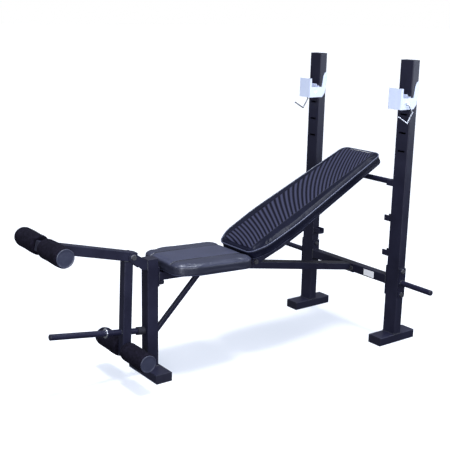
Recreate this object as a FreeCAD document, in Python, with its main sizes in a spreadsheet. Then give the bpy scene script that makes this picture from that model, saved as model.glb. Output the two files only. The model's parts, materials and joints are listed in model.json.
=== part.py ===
"""Adjustable weight bench with a barbell rack and a leg developer.

Frame: origin on the floor under the middle of the bench, +X along the bench towards the rack,
+Y to the left of somebody who walks towards the rack, +Z up.  All sizes are in millimetres.
"""
import FreeCAD, Part
import math
import os

import Sketcher

V = FreeCAD.Vector
Rotation = FreeCAD.Rotation
Placement = FreeCAD.Placement

Y_AXIS = V(0, 1, 0)
ALONG_Y = Rotation(V(1, 0, 0), -90)
ALONG_X = Rotation(Y_AXIS, 90)

SIZES = {
    # rack
    "rack_half_spacing": 295, "upright_front": 749, "upright_width": 75, "upright_depth": 42,
    "upright_height": 1300, "upright_wall": 2.5, "slot_width": 41, "slot_height": 8.2,
    "slot_top": 1145, "slot_pitch": 82, "rack_foot_x": 769.5,
    # feet, posts and beams
    "foot_length": 225, "foot_width": 76, "foot_height": 40, "foot_wall": 3, "cap_flange": 3,
    "post_x": -378, "post_size": 52, "post_height": 510, "tube_wall": 2, "corner_radius": 4,
    "beam_width": 50, "beam_height": 34, "beam_front_z": 430, "beam_bend_x": 70,
    "beam_bend_z": 412, "beam_rear_z": 293.5, "plate_thickness": 5,
    "cross_size": 42, "cross_z": 290, "flange_height": 140, "bolt_half_pitch": 55,
    "brace_size": 19, "brace_high_x": -135,
    # support bar, its saddles and the plate storage pegs
    "bar_radius": 12.5, "saddle_radius": 12.9, "saddle_strip": 4, "saddle_reach": 40,
    "saddle_pitch": 165, "saddle_lip": 11,
    "peg_radius": 12.5, "peg_end_y": 512, "peg_cap": 6,
    # seat
    "seat_front_x": -335, "seat_length": 380, "seat_width": 324, "board_thickness": 12,
    "foam_thickness": 33, "seat_bracket_height": 8.5, "pad_edge": 12,
    # backrest
    "hinge_x": 100, "hinge_z": 440, "axle_radius": 6, "running_gap": 0.05, "backrest_angle": 26,
    "rail_drop": 4, "rail_height": 31, "rail_width": 20, "rail_y": 76, "rail_start": 18,
    "rail_end": 752, "pad_start": -22, "back_length": 840, "back_width": 320,
    "contact_gap": 0.3,
    # leg developer
    "lever_x": -469, "lever_z": 531, "lever_size": 40, "lever_rise": 14.2,
    "upper_reach": 384.8, "lower_x": -499.6, "lower_z": 138, "roller_radius": 40,
    "roller_inner_y": 24.3, "roller_outer_y": 184, "roller_cap_radius": 36,
    "peg_rise": 8.2, "peg_root_z": 213, "peg_front": 336, "peg_back": 77.5,
    # bar catches and their lock pins
    "catch_front": 687, "catch_low": 1089, "catch_inner": 76, "catch_sheet": 2.5,
    "catch_bend": 6, "pin_x": 722, "pin_z": 1115, "pin_radius": 6, "pin_wire": 3,
}

# places of holes and small fittings
BOLT_RADIUS = 5.0
BEAM_BOLT_Z = 461.0
KNOB_Z = 398.0
REAR_BOLT_Y = 35.0
BEAM_START = SIZES["post_x"] + SIZES["post_size"] / 2 + SIZES["plate_thickness"]

SEAT_BOLT_X = (-295.0, -35.0)
SEAT_BOLT_RADIUS = 4.2
SEAT_SLOPE = math.atan2(SIZES["beam_front_z"] - SIZES["beam_bend_z"],
                        SIZES["beam_bend_x"] - BEAM_START)
BACK_BOLT_X = (120.0, 600.0)
BACK_BOLT_Y = 50.0

SLEEVE_HALF = 85.5
SLEEVE_RADIUS = 14.0
BUSH_RADIUS = 10.0
LUG_SHEET = 6.0

CHEEK_INNER = 21.5
CHEEK_SHEET = 4.0
LEVER_BUSH_RADIUS = 9.0
ARM_REAR = 17.0
ARM_FRONT = 22.0
ARM_TAIL = 24.0
PEG_CAP = 5.0
RING_AT = 86.0
BUMPER_SOCKET = 22.0


class Size(float):
    """A number that remembers the spreadsheet expression it came from."""

    def __new__(cls, value, text):
        made = float.__new__(cls, value)
        made.text = text
        return made

    @staticmethod
    def words(other):
        return other.text if isinstance(other, Size) else repr(float(other))

    def __add__(self, other):
        return Size(float(self) + float(other), f"({self.text} + {Size.words(other)})")

    def __radd__(self, other):
        return Size(float(other) + float(self), f"({Size.words(other)} + {self.text})")

    def __sub__(self, other):
        return Size(float(self) - float(other), f"({self.text} - {Size.words(other)})")

    def __rsub__(self, other):
        return Size(float(other) - float(self), f"({Size.words(other)} - {self.text})")

    def __mul__(self, other):
        return Size(float(self) * float(other), f"({self.text} * {Size.words(other)})")

    __rmul__ = __mul__

    def __truediv__(self, other):
        return Size(float(self) / float(other), f"({self.text} / {Size.words(other)})")

    def __neg__(self):
        return Size(-float(self), f"(0 - {self.text})")


class Sizes:
    """The spreadsheet's cells as attributes."""

    def __init__(self, doc):
        sheet = doc.addObject("Spreadsheet::Sheet", "Sizes")
        for row, (alias, value) in enumerate(SIZES.items(), start=1):
            sheet.set(f"A{row}", alias)
            sheet.set(f"B{row}", str(value))
            sheet.setAlias(f"B{row}", alias)
        doc.recompute()
        for alias in SIZES:
            setattr(self, alias, Size(float(sheet.get(alias)), f"Sizes.{alias}"))


doc = FreeCAD.newDocument("WeightBench")
S = Sizes(doc)
NODES = []


# ---------------------------------------------------------------- sketch and feature helpers


def bind(thing, prop, size):
    """Set a length and, when it comes from the sheet, bind it to its cell."""
    setattr(thing, prop, float(size))
    if isinstance(size, Size):
        thing.setExpression(prop, size.text)


def body(label):
    made = doc.addObject("PartDesign::Body", label)
    made.Label = label
    NODES.append(made)
    return made


def sketch(owner, plane, shift=0.0, tilt=0.0, lift=0.0):
    """A sketch on one of the body's own origin planes, moved along its normal or tilted."""
    base = [face for face in owner.Origin.OriginFeatures if face.Role == plane][0]
    made = owner.newObject("Sketcher::SketchObject", "Sketch")
    made.AttachmentSupport = [(base, "")]
    made.MapMode = "FlatFace"
    made.AttachmentOffset = Placement(V(0, lift, shift), Rotation(V(1, 0, 0), tilt))
    return made


def hold(drawing, kind, where, size):
    """Add a dimension and bind it to the sheet."""
    index = drawing.addConstraint(Sketcher.Constraint(kind, *where, float(size)))
    name = f"{kind}_{index}"
    drawing.renameConstraint(index, name)
    if isinstance(size, Size):
        drawing.setExpression(f"Constraints.{name}", size.text)


def polygon(drawing, points):
    """A closed outline with each corner dimensioned from the sketch's origin."""
    first = drawing.GeometryCount
    count = len(points)
    corners = [V(float(x), float(y), 0) for x, y in points]
    for number in range(count):
        drawing.addGeometry(Part.LineSegment(corners[number], corners[(number + 1) % count]))
    for number in range(count):
        follower = first + (number + 1) % count
        drawing.addConstraint(Sketcher.Constraint("Coincident", first + number, 2, follower, 1))
    for number, (x, y) in enumerate(points):
        hold(drawing, "DistanceX", (-1, 1, first + number, 1), x)
        hold(drawing, "DistanceY", (-1, 1, first + number, 1), y)


def rectangle(drawing, left, right, low, high):
    polygon(drawing, [(left, low), (right, low), (right, high), (left, high)])


def circle(drawing, x, y, radius):
    index = drawing.GeometryCount
    drawing.addGeometry(Part.Circle(V(float(x), float(y), 0), V(0, 0, 1), float(radius)))
    hold(drawing, "DistanceX", (-1, 1, index, 3), x)
    hold(drawing, "DistanceY", (-1, 1, index, 3), y)
    hold(drawing, "Radius", (index,), radius)


def pad(owner, drawing, length, symmetric=False, backwards=False):
    made = owner.newObject("PartDesign::Pad", "Pad")
    made.Profile = drawing
    bind(made, "Length", length)
    made.SideType = "Symmetric" if symmetric else "One side"
    made.Reversed = backwards
    return made


def pocket(owner, drawing, depth=None):
    """A cut to both sides of its sketch, right through when no depth is given."""
    made = owner.newObject("PartDesign::Pocket", "Pocket")
    made.Profile = drawing
    made.SideType = "Symmetric"
    if depth is None:
        made.Type = "ThroughAll"
    else:
        bind(made, "Length", depth)
    return made


def round_edges(owner, feature, radius, wanted):
    """Fillet the feature's edges for which wanted(edge) holds."""
    doc.recompute()
    names = [f"Edge{n}" for n, edge in enumerate(feature.Shape.Edges, start=1) if wanted(edge)]
    made = owner.newObject("PartDesign::Fillet", "Fillet")
    made.Base = (feature, names)
    bind(made, "Radius", radius)
    return made


def straight_along(axis):
    """Test for straight edges parallel to an axis of the body."""
    def wanted(edge):
        if edge.Curve.TypeId != "Part::GeomLine":
            return False
        run = edge.Vertexes[1].Point - edge.Vertexes[0].Point
        return abs(abs(run.normalize().dot(axis)) - 1) < 1e-6
    return wanted


def place(owner, point, rotation=Rotation()):
    owner.Placement = Placement(point, rotation)
    return owner


def tube(label, wide, deep, length, wall, across=(), radius=None):
    """A box-section tube along its own +Z; across lists holes along Y as (x, z, radius)."""
    owner = body(label)
    outer = sketch(owner, "XY_Plane")
    rectangle(outer, -wide / 2, wide / 2, -deep / 2, deep / 2)
    solid = pad(owner, outer, length)
    round_edges(owner, solid, radius or S.corner_radius, straight_along(V(0, 0, 1)))
    inner = sketch(owner, "XY_Plane")
    rectangle(inner, wall - wide / 2, wide / 2 - wall, wall - deep / 2, deep / 2 - wall)
    pocket(owner, inner)
    if across:
        holes = sketch(owner, "XZ_Plane")
        for x, z, hole in across:
            circle(holes, x, z, hole)
        pocket(owner, holes)
    return owner


def group(label, shapes):
    """Identical loose pieces that share one node."""
    made = doc.addObject("Part::Feature", label)
    made.Label = label
    made.Shape = Part.makeCompound(shapes)
    NODES.append(made)
    return made


def hexagon(radius, thickness):
    """A hexagon prism, radius to the flats, standing on z = 0 with rounded-off top corners."""
    corner = radius / math.cos(math.pi / 6)
    ends = [V(corner * math.cos(a * math.pi / 3), corner * math.sin(a * math.pi / 3), 0)
            for a in range(6)]
    prism = Part.Face(Part.makePolygon(ends + ends[:1])).extrude(V(0, 0, thickness))
    cone_height = corner * 1.6
    dome = Part.makeCone(corner * 1.6, 0.01, cone_height, V(0, 0, thickness - corner * 0.65))
    return prism.common(dome.fuse(Part.makeCylinder(corner * 1.6, thickness - corner * 0.65)))


def bolt(shank_radius, grip, head=6.5, nut=0.0, tail=0.0):
    """Head above z = 0, shank down to -grip, then a nut and a tail when they have a length."""
    flats = shank_radius * 1.65
    made = hexagon(flats, head)
    made = made.fuse(Part.makeCylinder(shank_radius, grip + nut + tail, V(0, 0, -grip - nut - tail)))
    if nut:
        lower = hexagon(flats, nut)
        lower.rotate(V(0, 0, 0), V(1, 0, 0), 180)
        lower.translate(V(0, 0, -grip))
        made = made.fuse(lower)
    return made.removeSplitter()


def set_at(shape, point, direction):
    """Turn a shape that stands along +Z to a direction and move it to a point."""
    moved = shape.copy()
    moved.Placement = Placement(point, Rotation(V(0, 0, 1), direction))
    return moved


def tilted(degrees):
    """Rotation that raises a piece's own +X end by an angle."""
    return Rotation(Y_AXIS, -float(degrees))


# ---------------------------------------------------------------- feet, post and beams


def plug_cap(wide, deep, wall, flange=3.0, insert=14.0):
    """A plastic tube end: a flange as wide as the tube over a plug that fills its mouth."""
    radius = 4.0
    plate = Part.makeBox(wide, deep, flange, V(-wide / 2, -deep / 2, 0))
    upright = [edge for edge in plate.Edges if straight_along(V(0, 0, 1))(edge)]
    plate = plate.makeFillet(radius, upright)
    rim = [edge for edge in plate.Edges if min(p.Point.z for p in edge.Vertexes) > flange - 0.01]
    plate = plate.makeFillet(flange * 0.5, rim)
    core = Part.makeBox(wide - 2 * wall, deep - 2 * wall, insert,
                        V(wall - wide / 2, wall - deep / 2, -insert))
    return plate.fuse(core).removeSplitter()


def rack_feet():
    length = S.foot_length - 2 * S.cap_flange
    for side, sign in (("left", 1), ("right", -1)):
        foot = tube(f"{side}_rack_foot", S.foot_height, S.foot_width, length, S.foot_wall)
        start = V(S.rack_foot_x - length / 2, sign * S.rack_half_spacing, S.foot_height / 2)
        place(foot, start, ALONG_X)


def front_foot():
    length = S.foot_length - 2 * S.cap_flange
    foot = tube("front_foot", S.foot_width, S.foot_height, length, S.foot_wall)
    place(foot, V(S.post_x, -length / 2, S.foot_height / 2), ALONG_Y)


def foot_caps():
    half = S.foot_length / 2 - S.cap_flange
    middle = S.foot_height / 2
    lengthwise = plug_cap(S.foot_height, S.foot_width, S.foot_wall)
    sideways = plug_cap(S.foot_width, S.foot_height, S.foot_wall)
    caps = []
    for end in (1, -1):
        turn = Placement(V(S.post_x, end * half, middle), Rotation(V(1, 0, 0), -90 * end))
        cap = sideways.copy()
        cap.Placement = turn
        caps.append(cap)
        for side in (1, -1):
            point = V(S.rack_foot_x + end * half, side * S.rack_half_spacing, middle)
            cap = lengthwise.copy()
            cap.Placement = Placement(point, Rotation(Y_AXIS, 90 * end))
            caps.append(cap)
    group("foot_caps", caps)


def front_post():
    length = S.post_height - S.foot_height - S.cap_flange
    post = tube("front_post", S.post_size, S.post_size, length, S.tube_wall)
    holes = sketch(post, "YZ_Plane", shift=float(S.post_size) / 2)
    for height in (KNOB_Z, BEAM_BOLT_Z):
        circle(holes, 0, height - S.foot_height, BOLT_RADIUS)
    pocket(post, holes, S.tube_wall * 3)
    place(post, V(S.post_x, 0, S.foot_height))
    cap = plug_cap(S.post_size, S.post_size, S.tube_wall)
    cap.Placement = Placement(V(S.post_x, 0, S.post_height - S.cap_flange), Rotation())
    group("front_post_cap", [cap])


def main_beam():
    """A bent tube: level with the seat in front, then sloping down to the cross beam."""
    front = S.post_x + S.post_size / 2 + S.plate_thickness
    rear = S.upright_front - S.plate_thickness
    line = [(front, S.beam_front_z), (S.beam_bend_x, S.beam_bend_z), (rear, S.beam_rear_z)]

    def strip(drawing, half):
        low = [(x, z - half) for x, z in line]
        high = [(x, z + half) for x, z in reversed(line)]
        polygon(drawing, low + high)

    beam = body("main_beam")
    side = sketch(beam, "XZ_Plane")
    strip(side, S.beam_height / 2)
    solid = pad(beam, side, S.beam_width, symmetric=True)

    def lengthwise(edge):
        return abs(abs(edge.CenterOfMass.y) - S.beam_width / 2) < 0.01 and edge.Length > 100

    round_edges(beam, solid, S.corner_radius, lengthwise)
    hollow = sketch(beam, "XZ_Plane")
    strip(hollow, S.beam_height / 2 - S.tube_wall)
    pocket(beam, hollow, S.beam_width - 2 * S.tube_wall)
    holes = sketch(beam, "XY_Plane")
    for x in SEAT_BOLT_X:
        circle(holes, x, 0, SEAT_BOLT_RADIUS + 1.5)
    pocket(beam, holes)


def drilled_plate(wide, tall, thick, holes, radius):
    """An upright plate across X with its front face on x = 0; holes are (y, z)."""
    plate = Part.makeBox(thick, wide, tall, V(0, -wide / 2, -tall / 2))
    plate = plate.makeFillet(4.0, [e for e in plate.Edges if straight_along(V(1, 0, 0))(e)])
    for y, z in holes:
        plate = plate.cut(Part.makeCylinder(radius, thick, V(0, y, z), V(1, 0, 0)))
    return plate


def beam_end_plates():
    thick = float(S.plate_thickness)
    middle = (KNOB_Z + BEAM_BOLT_Z) / 2
    bolts = [(0, height - middle) for height in (KNOB_Z, BEAM_BOLT_Z)]
    front = drilled_plate(S.post_size, 84, thick, bolts, BOLT_RADIUS)
    front.translate(V(S.post_x + S.post_size / 2, 0, middle))
    sides = [(-REAR_BOLT_Y, 0), (REAR_BOLT_Y, 0)]
    rear = drilled_plate(100, S.cross_size, thick, sides, BOLT_RADIUS)
    rear.translate(V(S.upright_front - thick, 0, S.cross_z))
    group("beam_end_plates", [front, rear])


def beam_bolts():
    thick = float(S.plate_thickness)
    front_face = S.post_x + S.post_size / 2 + thick
    short = bolt(BOLT_RADIUS, thick + S.tube_wall + 6)
    parts = [set_at(short, V(front_face, 0, BEAM_BOLT_Z), V(1, 0, 0))]
    for y in (-REAR_BOLT_Y, REAR_BOLT_Y):
        through = bolt(BOLT_RADIUS, thick + S.cross_size, nut=8, tail=4)
        parts.append(set_at(through, V(S.upright_front - thick, y, S.cross_z), V(-1, 0, 0)))
    group("beam_bolts", parts)


def post_knob():
    """A fluted hand knob whose stud clamps the beam's front plate to the post."""
    plate_face = S.post_x + S.post_size / 2 + S.plate_thickness
    neck = 16.0
    grip = 16.0
    radius = 12.0
    flutes = 7
    head = Part.makeCylinder(radius, grip, V(0, 0, neck))
    rims = [edge for edge in head.Edges if edge.Curve.TypeId == "Part::GeomCircle"]
    head = head.makeFillet(2.5, rims)
    for number in range(flutes):
        angle = 2 * math.pi * number / flutes
        at = V((radius + 2.2) * math.cos(angle), (radius + 2.2) * math.sin(angle), neck)
        head = head.cut(Part.makeCylinder(4.0, grip, at))
    shank = Part.makeCylinder(8.0, neck)
    stud_length = float(S.plate_thickness + S.tube_wall + 8)
    stud = Part.makeCylinder(BOLT_RADIUS, stud_length, V(0, 0, -stud_length))
    knob = head.fuse([shank, stud]).removeSplitter()
    group("post_knob", [set_at(knob, V(plate_face, 0, KNOB_Z), V(1, 0, 0))])


def brace_strut():
    """Square tube at 45 degrees from the post's rear face up to the beam."""
    strut = body("brace_strut")
    face = S.post_x + S.post_size / 2
    half = S.brace_size * math.sqrt(0.5)
    top = beam_underside(float(S.brace_high_x))
    run = S.brace_high_x - face
    low = top - run
    left = beam_underside(float(S.brace_high_x - half))
    right = beam_underside(float(S.brace_high_x + half))
    side = sketch(strut, "XZ_Plane")
    polygon(side, [(face, low - half), (S.brace_high_x + half, right),
                   (S.brace_high_x - half, left), (face, low + half)])
    solid = pad(strut, side, S.brace_size, symmetric=True)

    def lengthwise(edge):
        return edge.Length > 100

    round_edges(strut, solid, 2.5, lengthwise)


def beam_underside(x):
    """Height of the beam's lower face under the seat."""
    start = float(S.post_x + S.post_size / 2 + S.plate_thickness)
    share = (x - start) / (float(S.beam_bend_x) - start)
    middle = float(S.beam_front_z) + share * float(S.beam_bend_z - S.beam_front_z)
    return middle - float(S.beam_height) / 2


# ---------------------------------------------------------------- rack


def uprights():
    length = S.upright_height - S.foot_height - S.cap_flange
    middle = S.upright_front + S.upright_depth / 2
    bolts = [(0, S.cross_z + step * S.bolt_half_pitch - S.foot_height, BOLT_RADIUS)
             for step in (-1, 1)]
    for side, sign in (("left", 1), ("right", -1)):
        post = tube(f"{side}_upright", S.upright_depth, S.upright_width, length,
                    S.upright_wall, across=bolts)
        slots = sketch(post, "YZ_Plane", shift=-float(S.upright_depth) / 2)
        for number in range(4):
            z = S.slot_top - number * S.slot_pitch - S.foot_height
            rectangle(slots, -S.slot_width / 2, S.slot_width / 2,
                      z - S.slot_height / 2, z + S.slot_height / 2)
        pocket(post, slots, S.upright_wall * 3)
        place(post, V(middle, sign * S.rack_half_spacing, S.foot_height))


def upright_caps():
    caps = []
    for side in (1, -1):
        cap = plug_cap(S.upright_depth, S.upright_width, S.upright_wall)
        point = V(S.upright_front + S.upright_depth / 2, side * S.rack_half_spacing,
                  S.upright_height - S.cap_flange)
        cap.Placement = Placement(point, Rotation())
        caps.append(cap)
    group("upright_caps", caps)


def cross_beam():
    """Square tube between the uprights with a bolting flange at each end."""
    beam = body("cross_beam")
    inner = S.rack_half_spacing - S.upright_width / 2
    half = S.cross_size / 2
    outline = sketch(beam, "XZ_Plane")
    rectangle(outline, -half, half, -half, half)
    solid = pad(beam, outline, 2 * inner, symmetric=True)
    round_edges(beam, solid, S.corner_radius, straight_along(Y_AXIS))
    flange = sketch(beam, "XZ_Plane", shift=float(inner - S.plate_thickness))
    rectangle(flange, -half, half, -S.flange_height / 2, S.flange_height / 2)
    end = pad(beam, flange, S.plate_thickness)
    mirror = beam.newObject("PartDesign::Mirrored", "OtherFlange")
    mirror.Originals = [end]
    plane = [face for face in beam.Origin.OriginFeatures if face.Role == "XZ_Plane"][0]
    mirror.MirrorPlane = (plane, [""])
    beam.Tip = mirror
    hollow = sketch(beam, "XZ_Plane")
    room = half - S.tube_wall
    rectangle(hollow, -room, room, -room, room)
    pocket(beam, hollow)
    holes = sketch(beam, "XZ_Plane")
    circle(holes, 0, S.bolt_half_pitch, BOLT_RADIUS)
    circle(holes, 0, -S.bolt_half_pitch, BOLT_RADIUS)
    pocket(beam, holes)
    sides = sketch(beam, "YZ_Plane")
    circle(sides, REAR_BOLT_Y, 0, BOLT_RADIUS)
    circle(sides, -REAR_BOLT_Y, 0, BOLT_RADIUS)
    pocket(beam, sides)
    place(beam, V(S.upright_front + S.upright_depth / 2, 0, S.cross_z))


def cross_beam_bolts():
    thick = S.plate_thickness
    x = S.upright_front + S.upright_depth / 2
    outer = S.rack_half_spacing + S.upright_width / 2 + thick
    parts = []
    for side in (1, -1):
        for step in (1, -1):
            one = bolt(BOLT_RADIUS, S.upright_width + 2 * thick, nut=8, tail=4)
            point = V(x, side * outer, S.cross_z + step * S.bolt_half_pitch)
            parts.append(set_at(one, point, V(0, side, 0)))
    group("cross_beam_bolts", parts)


def storage_pegs():
    """Outside each upright, a bolted plate with a peg that holds spare weight plates."""
    outer = S.rack_half_spacing + S.upright_width / 2
    x = S.upright_front + S.upright_depth / 2
    reach = S.peg_end_y - S.peg_cap - outer
    for side, turn in (("left", 180), ("right", 0)):
        peg = body(f"{side}_storage_peg")
        plate = sketch(peg, "XZ_Plane")
        rectangle(plate, -S.cross_size / 2, S.cross_size / 2,
                  -S.flange_height / 2, S.flange_height / 2)
        base = pad(peg, plate, S.plate_thickness)
        round_edges(peg, base, 5.0, straight_along(Y_AXIS))
        holes = sketch(peg, "XZ_Plane")
        circle(holes, 0, S.bolt_half_pitch, BOLT_RADIUS)
        circle(holes, 0, -S.bolt_half_pitch, BOLT_RADIUS)
        pocket(peg, holes)
        rod = sketch(peg, "XZ_Plane")
        circle(rod, 0, 0, S.peg_radius)
        pad(peg, rod, reach)
        bore = sketch(peg, "XZ_Plane")
        circle(bore, 0, 0, S.peg_radius - 2.5)
        pocket(peg, bore)
        sign = 1 if side == "left" else -1
        place(peg, V(x, sign * outer, S.cross_z), Rotation(V(0, 0, 1), turn))


def storage_peg_caps():
    x = S.upright_front + S.upright_depth / 2
    caps = []
    for side in (1, -1):
        cap = round_cap(S.peg_radius, S.peg_radius - 2.5, S.peg_cap)
        point = V(x, side * (S.peg_end_y - S.peg_cap), S.cross_z)
        caps.append(set_at(cap, point, V(0, side, 0)))
    group("storage_peg_caps", caps)


def round_cap(outer, inner, height, insert=12.0):
    """A plug for a round tube: a rounded disc over a shank that fills the bore."""
    disc = Part.makeCylinder(outer, height)
    rim = [edge for edge in disc.Edges if edge.CenterOfMass.z > height - 0.01
           and edge.Curve.TypeId == "Part::GeomCircle"]
    disc = disc.makeFillet(height * 0.6, rim)
    return disc.fuse(Part.makeCylinder(inner, insert, V(0, 0, -insert))).removeSplitter()


def bar_height():
    """Centre height of the support bar when it carries the backrest's rails."""
    angle = math.radians(S.backrest_angle)
    reach = bar_x() - float(S.hinge_x)
    drop = float(S.rail_drop + S.bar_radius + S.contact_gap)
    return float(S.hinge_z) + reach * math.tan(angle) - drop / math.cos(angle)


def bar_x():
    return float(S.upright_front + S.upright_depth / 2)


def saddles():
    """Three open U-shaped rests on the inner face of each upright."""
    inner = S.rack_half_spacing - S.upright_width / 2
    half = S.saddle_radius + S.saddle_strip
    for side, sign in (("left", 1), ("right", -1)):
        shapes = []
        for level in range(3):
            one = doc.addObject("PartDesign::Body", f"{side}Saddle{level}")
            block = sketch(one, "XZ_Plane")
            rectangle(block, -half, half, -half, S.saddle_lip)
            solid = pad(one, block, S.saddle_reach, symmetric=True)
            round_edges(one, solid, 4.0, straight_along(Y_AXIS))
            groove = sketch(one, "XZ_Plane")
            circle(groove, 0, 0, S.saddle_radius)
            pocket(one, groove)
            mouth = sketch(one, "XZ_Plane")
            rectangle(mouth, -S.saddle_radius, S.saddle_radius, 0, 2 * S.saddle_lip)
            pocket(one, mouth)
            y = sign * (inner - S.saddle_reach / 2)
            place(one, V(bar_x(), y, bar_height() - level * S.saddle_pitch))
            doc.recompute()
            shapes.append(one.Shape.copy())
        group(f"{side}_saddles", shapes)


def support_bar():
    bar = body("support_bar")
    half = S.rack_half_spacing - S.upright_width / 2 - 3
    face = sketch(bar, "XZ_Plane")
    circle(face, 0, 0, S.bar_radius)
    circle(face, 0, 0, S.bar_radius - S.tube_wall)
    pad(bar, face, 2 * half, symmetric=True)
    place(bar, V(bar_x(), 0, bar_height()))
    plugs = []
    for side in (1, -1):
        plug = round_cap(S.bar_radius, S.bar_radius - S.tube_wall, 2.0)
        plugs.append(set_at(plug, V(bar_x(), side * half, bar_height()), V(0, side, 0)))
    group("support_bar_plugs", plugs)


def label_plate():
    """A blank label on the front of the cross beam."""
    label = body("label_plate")
    face = sketch(label, "YZ_Plane")
    rectangle(face, -33, 33, -15, 15)
    pad(label, face, 0.8, backwards=True)
    place(label, V(S.upright_front, -146, S.cross_z))


# ---------------------------------------------------------------- seat


def seat_frame(point):
    """A point of the seat's own frame (x from its front edge, z from its board) in the world."""
    turn = Rotation(Y_AXIS, math.degrees(SEAT_SLOPE))
    middle = beam_underside(float(S.seat_front_x)) + float(S.beam_height)
    lift = (float(S.seat_bracket_height) + 0.01) / math.cos(SEAT_SLOPE)
    base = V(S.seat_front_x, 0, middle + lift)
    return Placement(base, turn).multiply(Placement(point, Rotation()))


def rounded_outline(corners, radii):
    """A closed wire of straight sides joined by tangent arcs, one radius for each corner."""
    count = len(corners)
    edges = []
    last = None
    first = None
    for number in range(count):
        here = V(*corners[number], 0)
        before = (V(*corners[number - 1], 0) - here).normalize()
        after = (V(*corners[(number + 1) % count], 0) - here).normalize()
        half = before.getAngle(after) / 2
        reach = radii[number] / math.tan(half)
        start = here + before * reach
        end = here + after * reach
        toward = (before + after).normalize()
        middle = here + toward * (radii[number] / math.sin(half) - radii[number])
        if last is not None:
            edges.append(Part.LineSegment(last, start).toShape())
        edges.append(Part.Arc(start, middle, end).toShape())
        first = first or start
        last = end
    edges.append(Part.LineSegment(last, first).toShape())
    return Part.Wire(edges)


def seat_outline(inset):
    """The seat narrows a little towards its rounded front corners."""
    half = float(S.seat_width) / 2 - inset
    rear = float(S.seat_length) - inset
    front = inset
    narrow = half - 30
    corners = [(front, -narrow), (95, -half), (rear, -half), (rear, half), (95, half),
               (front, narrow)]
    return rounded_outline(corners, [48 - inset, 150, 45 - inset, 45 - inset, 150, 48 - inset])


def back_outline(inset):
    """The back pad is widest at the lower third and tapers to both ends."""
    start = float(S.pad_start) + inset
    end = start + float(S.back_length) - 2 * inset
    wide = float(S.back_width) / 2 - inset
    corners = [(start, -108), (start + 75, -wide + 8), (start + 250, -wide - 2),
               (end, -126 + inset), (end, 126 - inset), (start + 250, wide + 2),
               (start + 75, wide - 8), (start, 108)]
    radii = [46 - inset, 150, 900, 38 - inset, 38 - inset, 900, 150, 46 - inset]
    return rounded_outline(corners, radii)


def slab(outline, low, height, edge=0.0):
    """An outline given a thickness, its upper edge rounded when edge is more than 0."""
    solid = Part.Face(outline).extrude(V(0, 0, height))
    if edge:
        rim = [e for e in solid.Edges if e.CenterOfMass.z > height - 0.01]
        solid = solid.makeFillet(edge, rim)
    solid.translate(V(0, 0, low))
    return solid


def drill(shape, points, radius, low, high):
    for x, y in points:
        shape = shape.cut(Part.makeCylinder(radius, high - low, V(x, y, low)))
    return shape


def seat_bolt_points():
    """Bolts stand square to the seat, so they are set to meet the beam's holes half way down."""
    lean = math.sin(SEAT_SLOPE) * float(S.seat_bracket_height + S.beam_height / 2)
    return [(x - float(S.seat_front_x) + lean, 0) for x in SEAT_BOLT_X]


def seat():
    spot = seat_frame(V(0, 0, 0))
    thick = float(S.board_thickness)
    board = drill(slab(seat_outline(6), 0, thick), seat_bolt_points(), SEAT_BOLT_RADIUS, 0, thick)
    group("seat_board", [board]).Placement = spot
    pad_shape = slab(seat_outline(0), thick, float(S.foam_thickness), float(S.pad_edge))
    group("seat_pad", [pad_shape]).Placement = spot
    drop = float(S.seat_bracket_height)
    brackets = []
    for x, y in seat_bolt_points():
        outside = Part.makeBox(50, 220, drop, V(x - 25, -110, -drop))
        inside = Part.makeBox(44, 220, drop - 3, V(x - 22, -110, -drop))
        hat = outside.cut(inside)
        base = Part.makeBox(44, 50, 3, V(x - 22, -25, -drop))
        brackets.append(drill(hat.fuse(base), [(x, y)], SEAT_BOLT_RADIUS, -drop, 0))
    group("seat_brackets", brackets).Placement = spot
    below = drop + float(S.beam_height)
    bolts = []
    for x, y in seat_bolt_points():
        one = bolt(SEAT_BOLT_RADIUS, below + thick - 1, head=6)
        bolts.append(set_at(one, V(x, y, -below), V(0, 0, -1)))
    group("seat_bolts", bolts).Placement = spot


# ---------------------------------------------------------------- backrest


def backrest_frame():
    return Placement(V(S.hinge_x, 0, S.hinge_z), tilted(S.backrest_angle))


def backrest_levels():
    """Heights above the hinge, square to the pad: rail bottom, rail top, board top, pad top."""
    low = -float(S.rail_drop)
    rail_top = low + float(S.rail_height)
    board_top = rail_top + float(S.board_thickness)
    return low, rail_top, board_top, board_top + float(S.foam_thickness)


def backrest():
    spot = backrest_frame()
    low, rail_top, board_top, _ = backrest_levels()
    points = [(x, y) for x in BACK_BOLT_X for y in (-BACK_BOLT_Y, BACK_BOLT_Y)]
    board = slab(back_outline(6), rail_top, float(S.board_thickness))
    board = drill(board, points, SEAT_BOLT_RADIUS, rail_top, board_top)
    group("back_board", [board]).Placement = spot
    cushion = slab(back_outline(0), board_top, float(S.foam_thickness), float(S.pad_edge))
    group("back_pad", [cushion]).Placement = spot
    cross_height = 20.0
    bars = []
    for x in BACK_BOLT_X:
        inner = float(S.rail_y - S.rail_width / 2)
        outside = Part.makeBox(30, 2 * inner, cross_height, V(x - 15, -inner, rail_top - cross_height))
        outside = outside.makeFillet(2.5, [e for e in outside.Edges if straight_along(Y_AXIS)(e)])
        inside = Part.makeBox(26, 2 * inner, 16, V(x - 13, -inner, rail_top - 18))
        holes = [point for point in points if point[0] == x]
        bars.append(drill(outside.cut(inside), holes, SEAT_BOLT_RADIUS, low, rail_top))
    group("back_cross_bars", bars).Placement = spot
    bolts = []
    for x, y in points:
        one = bolt(SEAT_BOLT_RADIUS, cross_height + float(S.board_thickness) - 1, head=6)
        bolts.append(set_at(one, V(x, y, rail_top - cross_height), V(0, 0, -1)))
    group("back_bolts", bolts).Placement = spot


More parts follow.
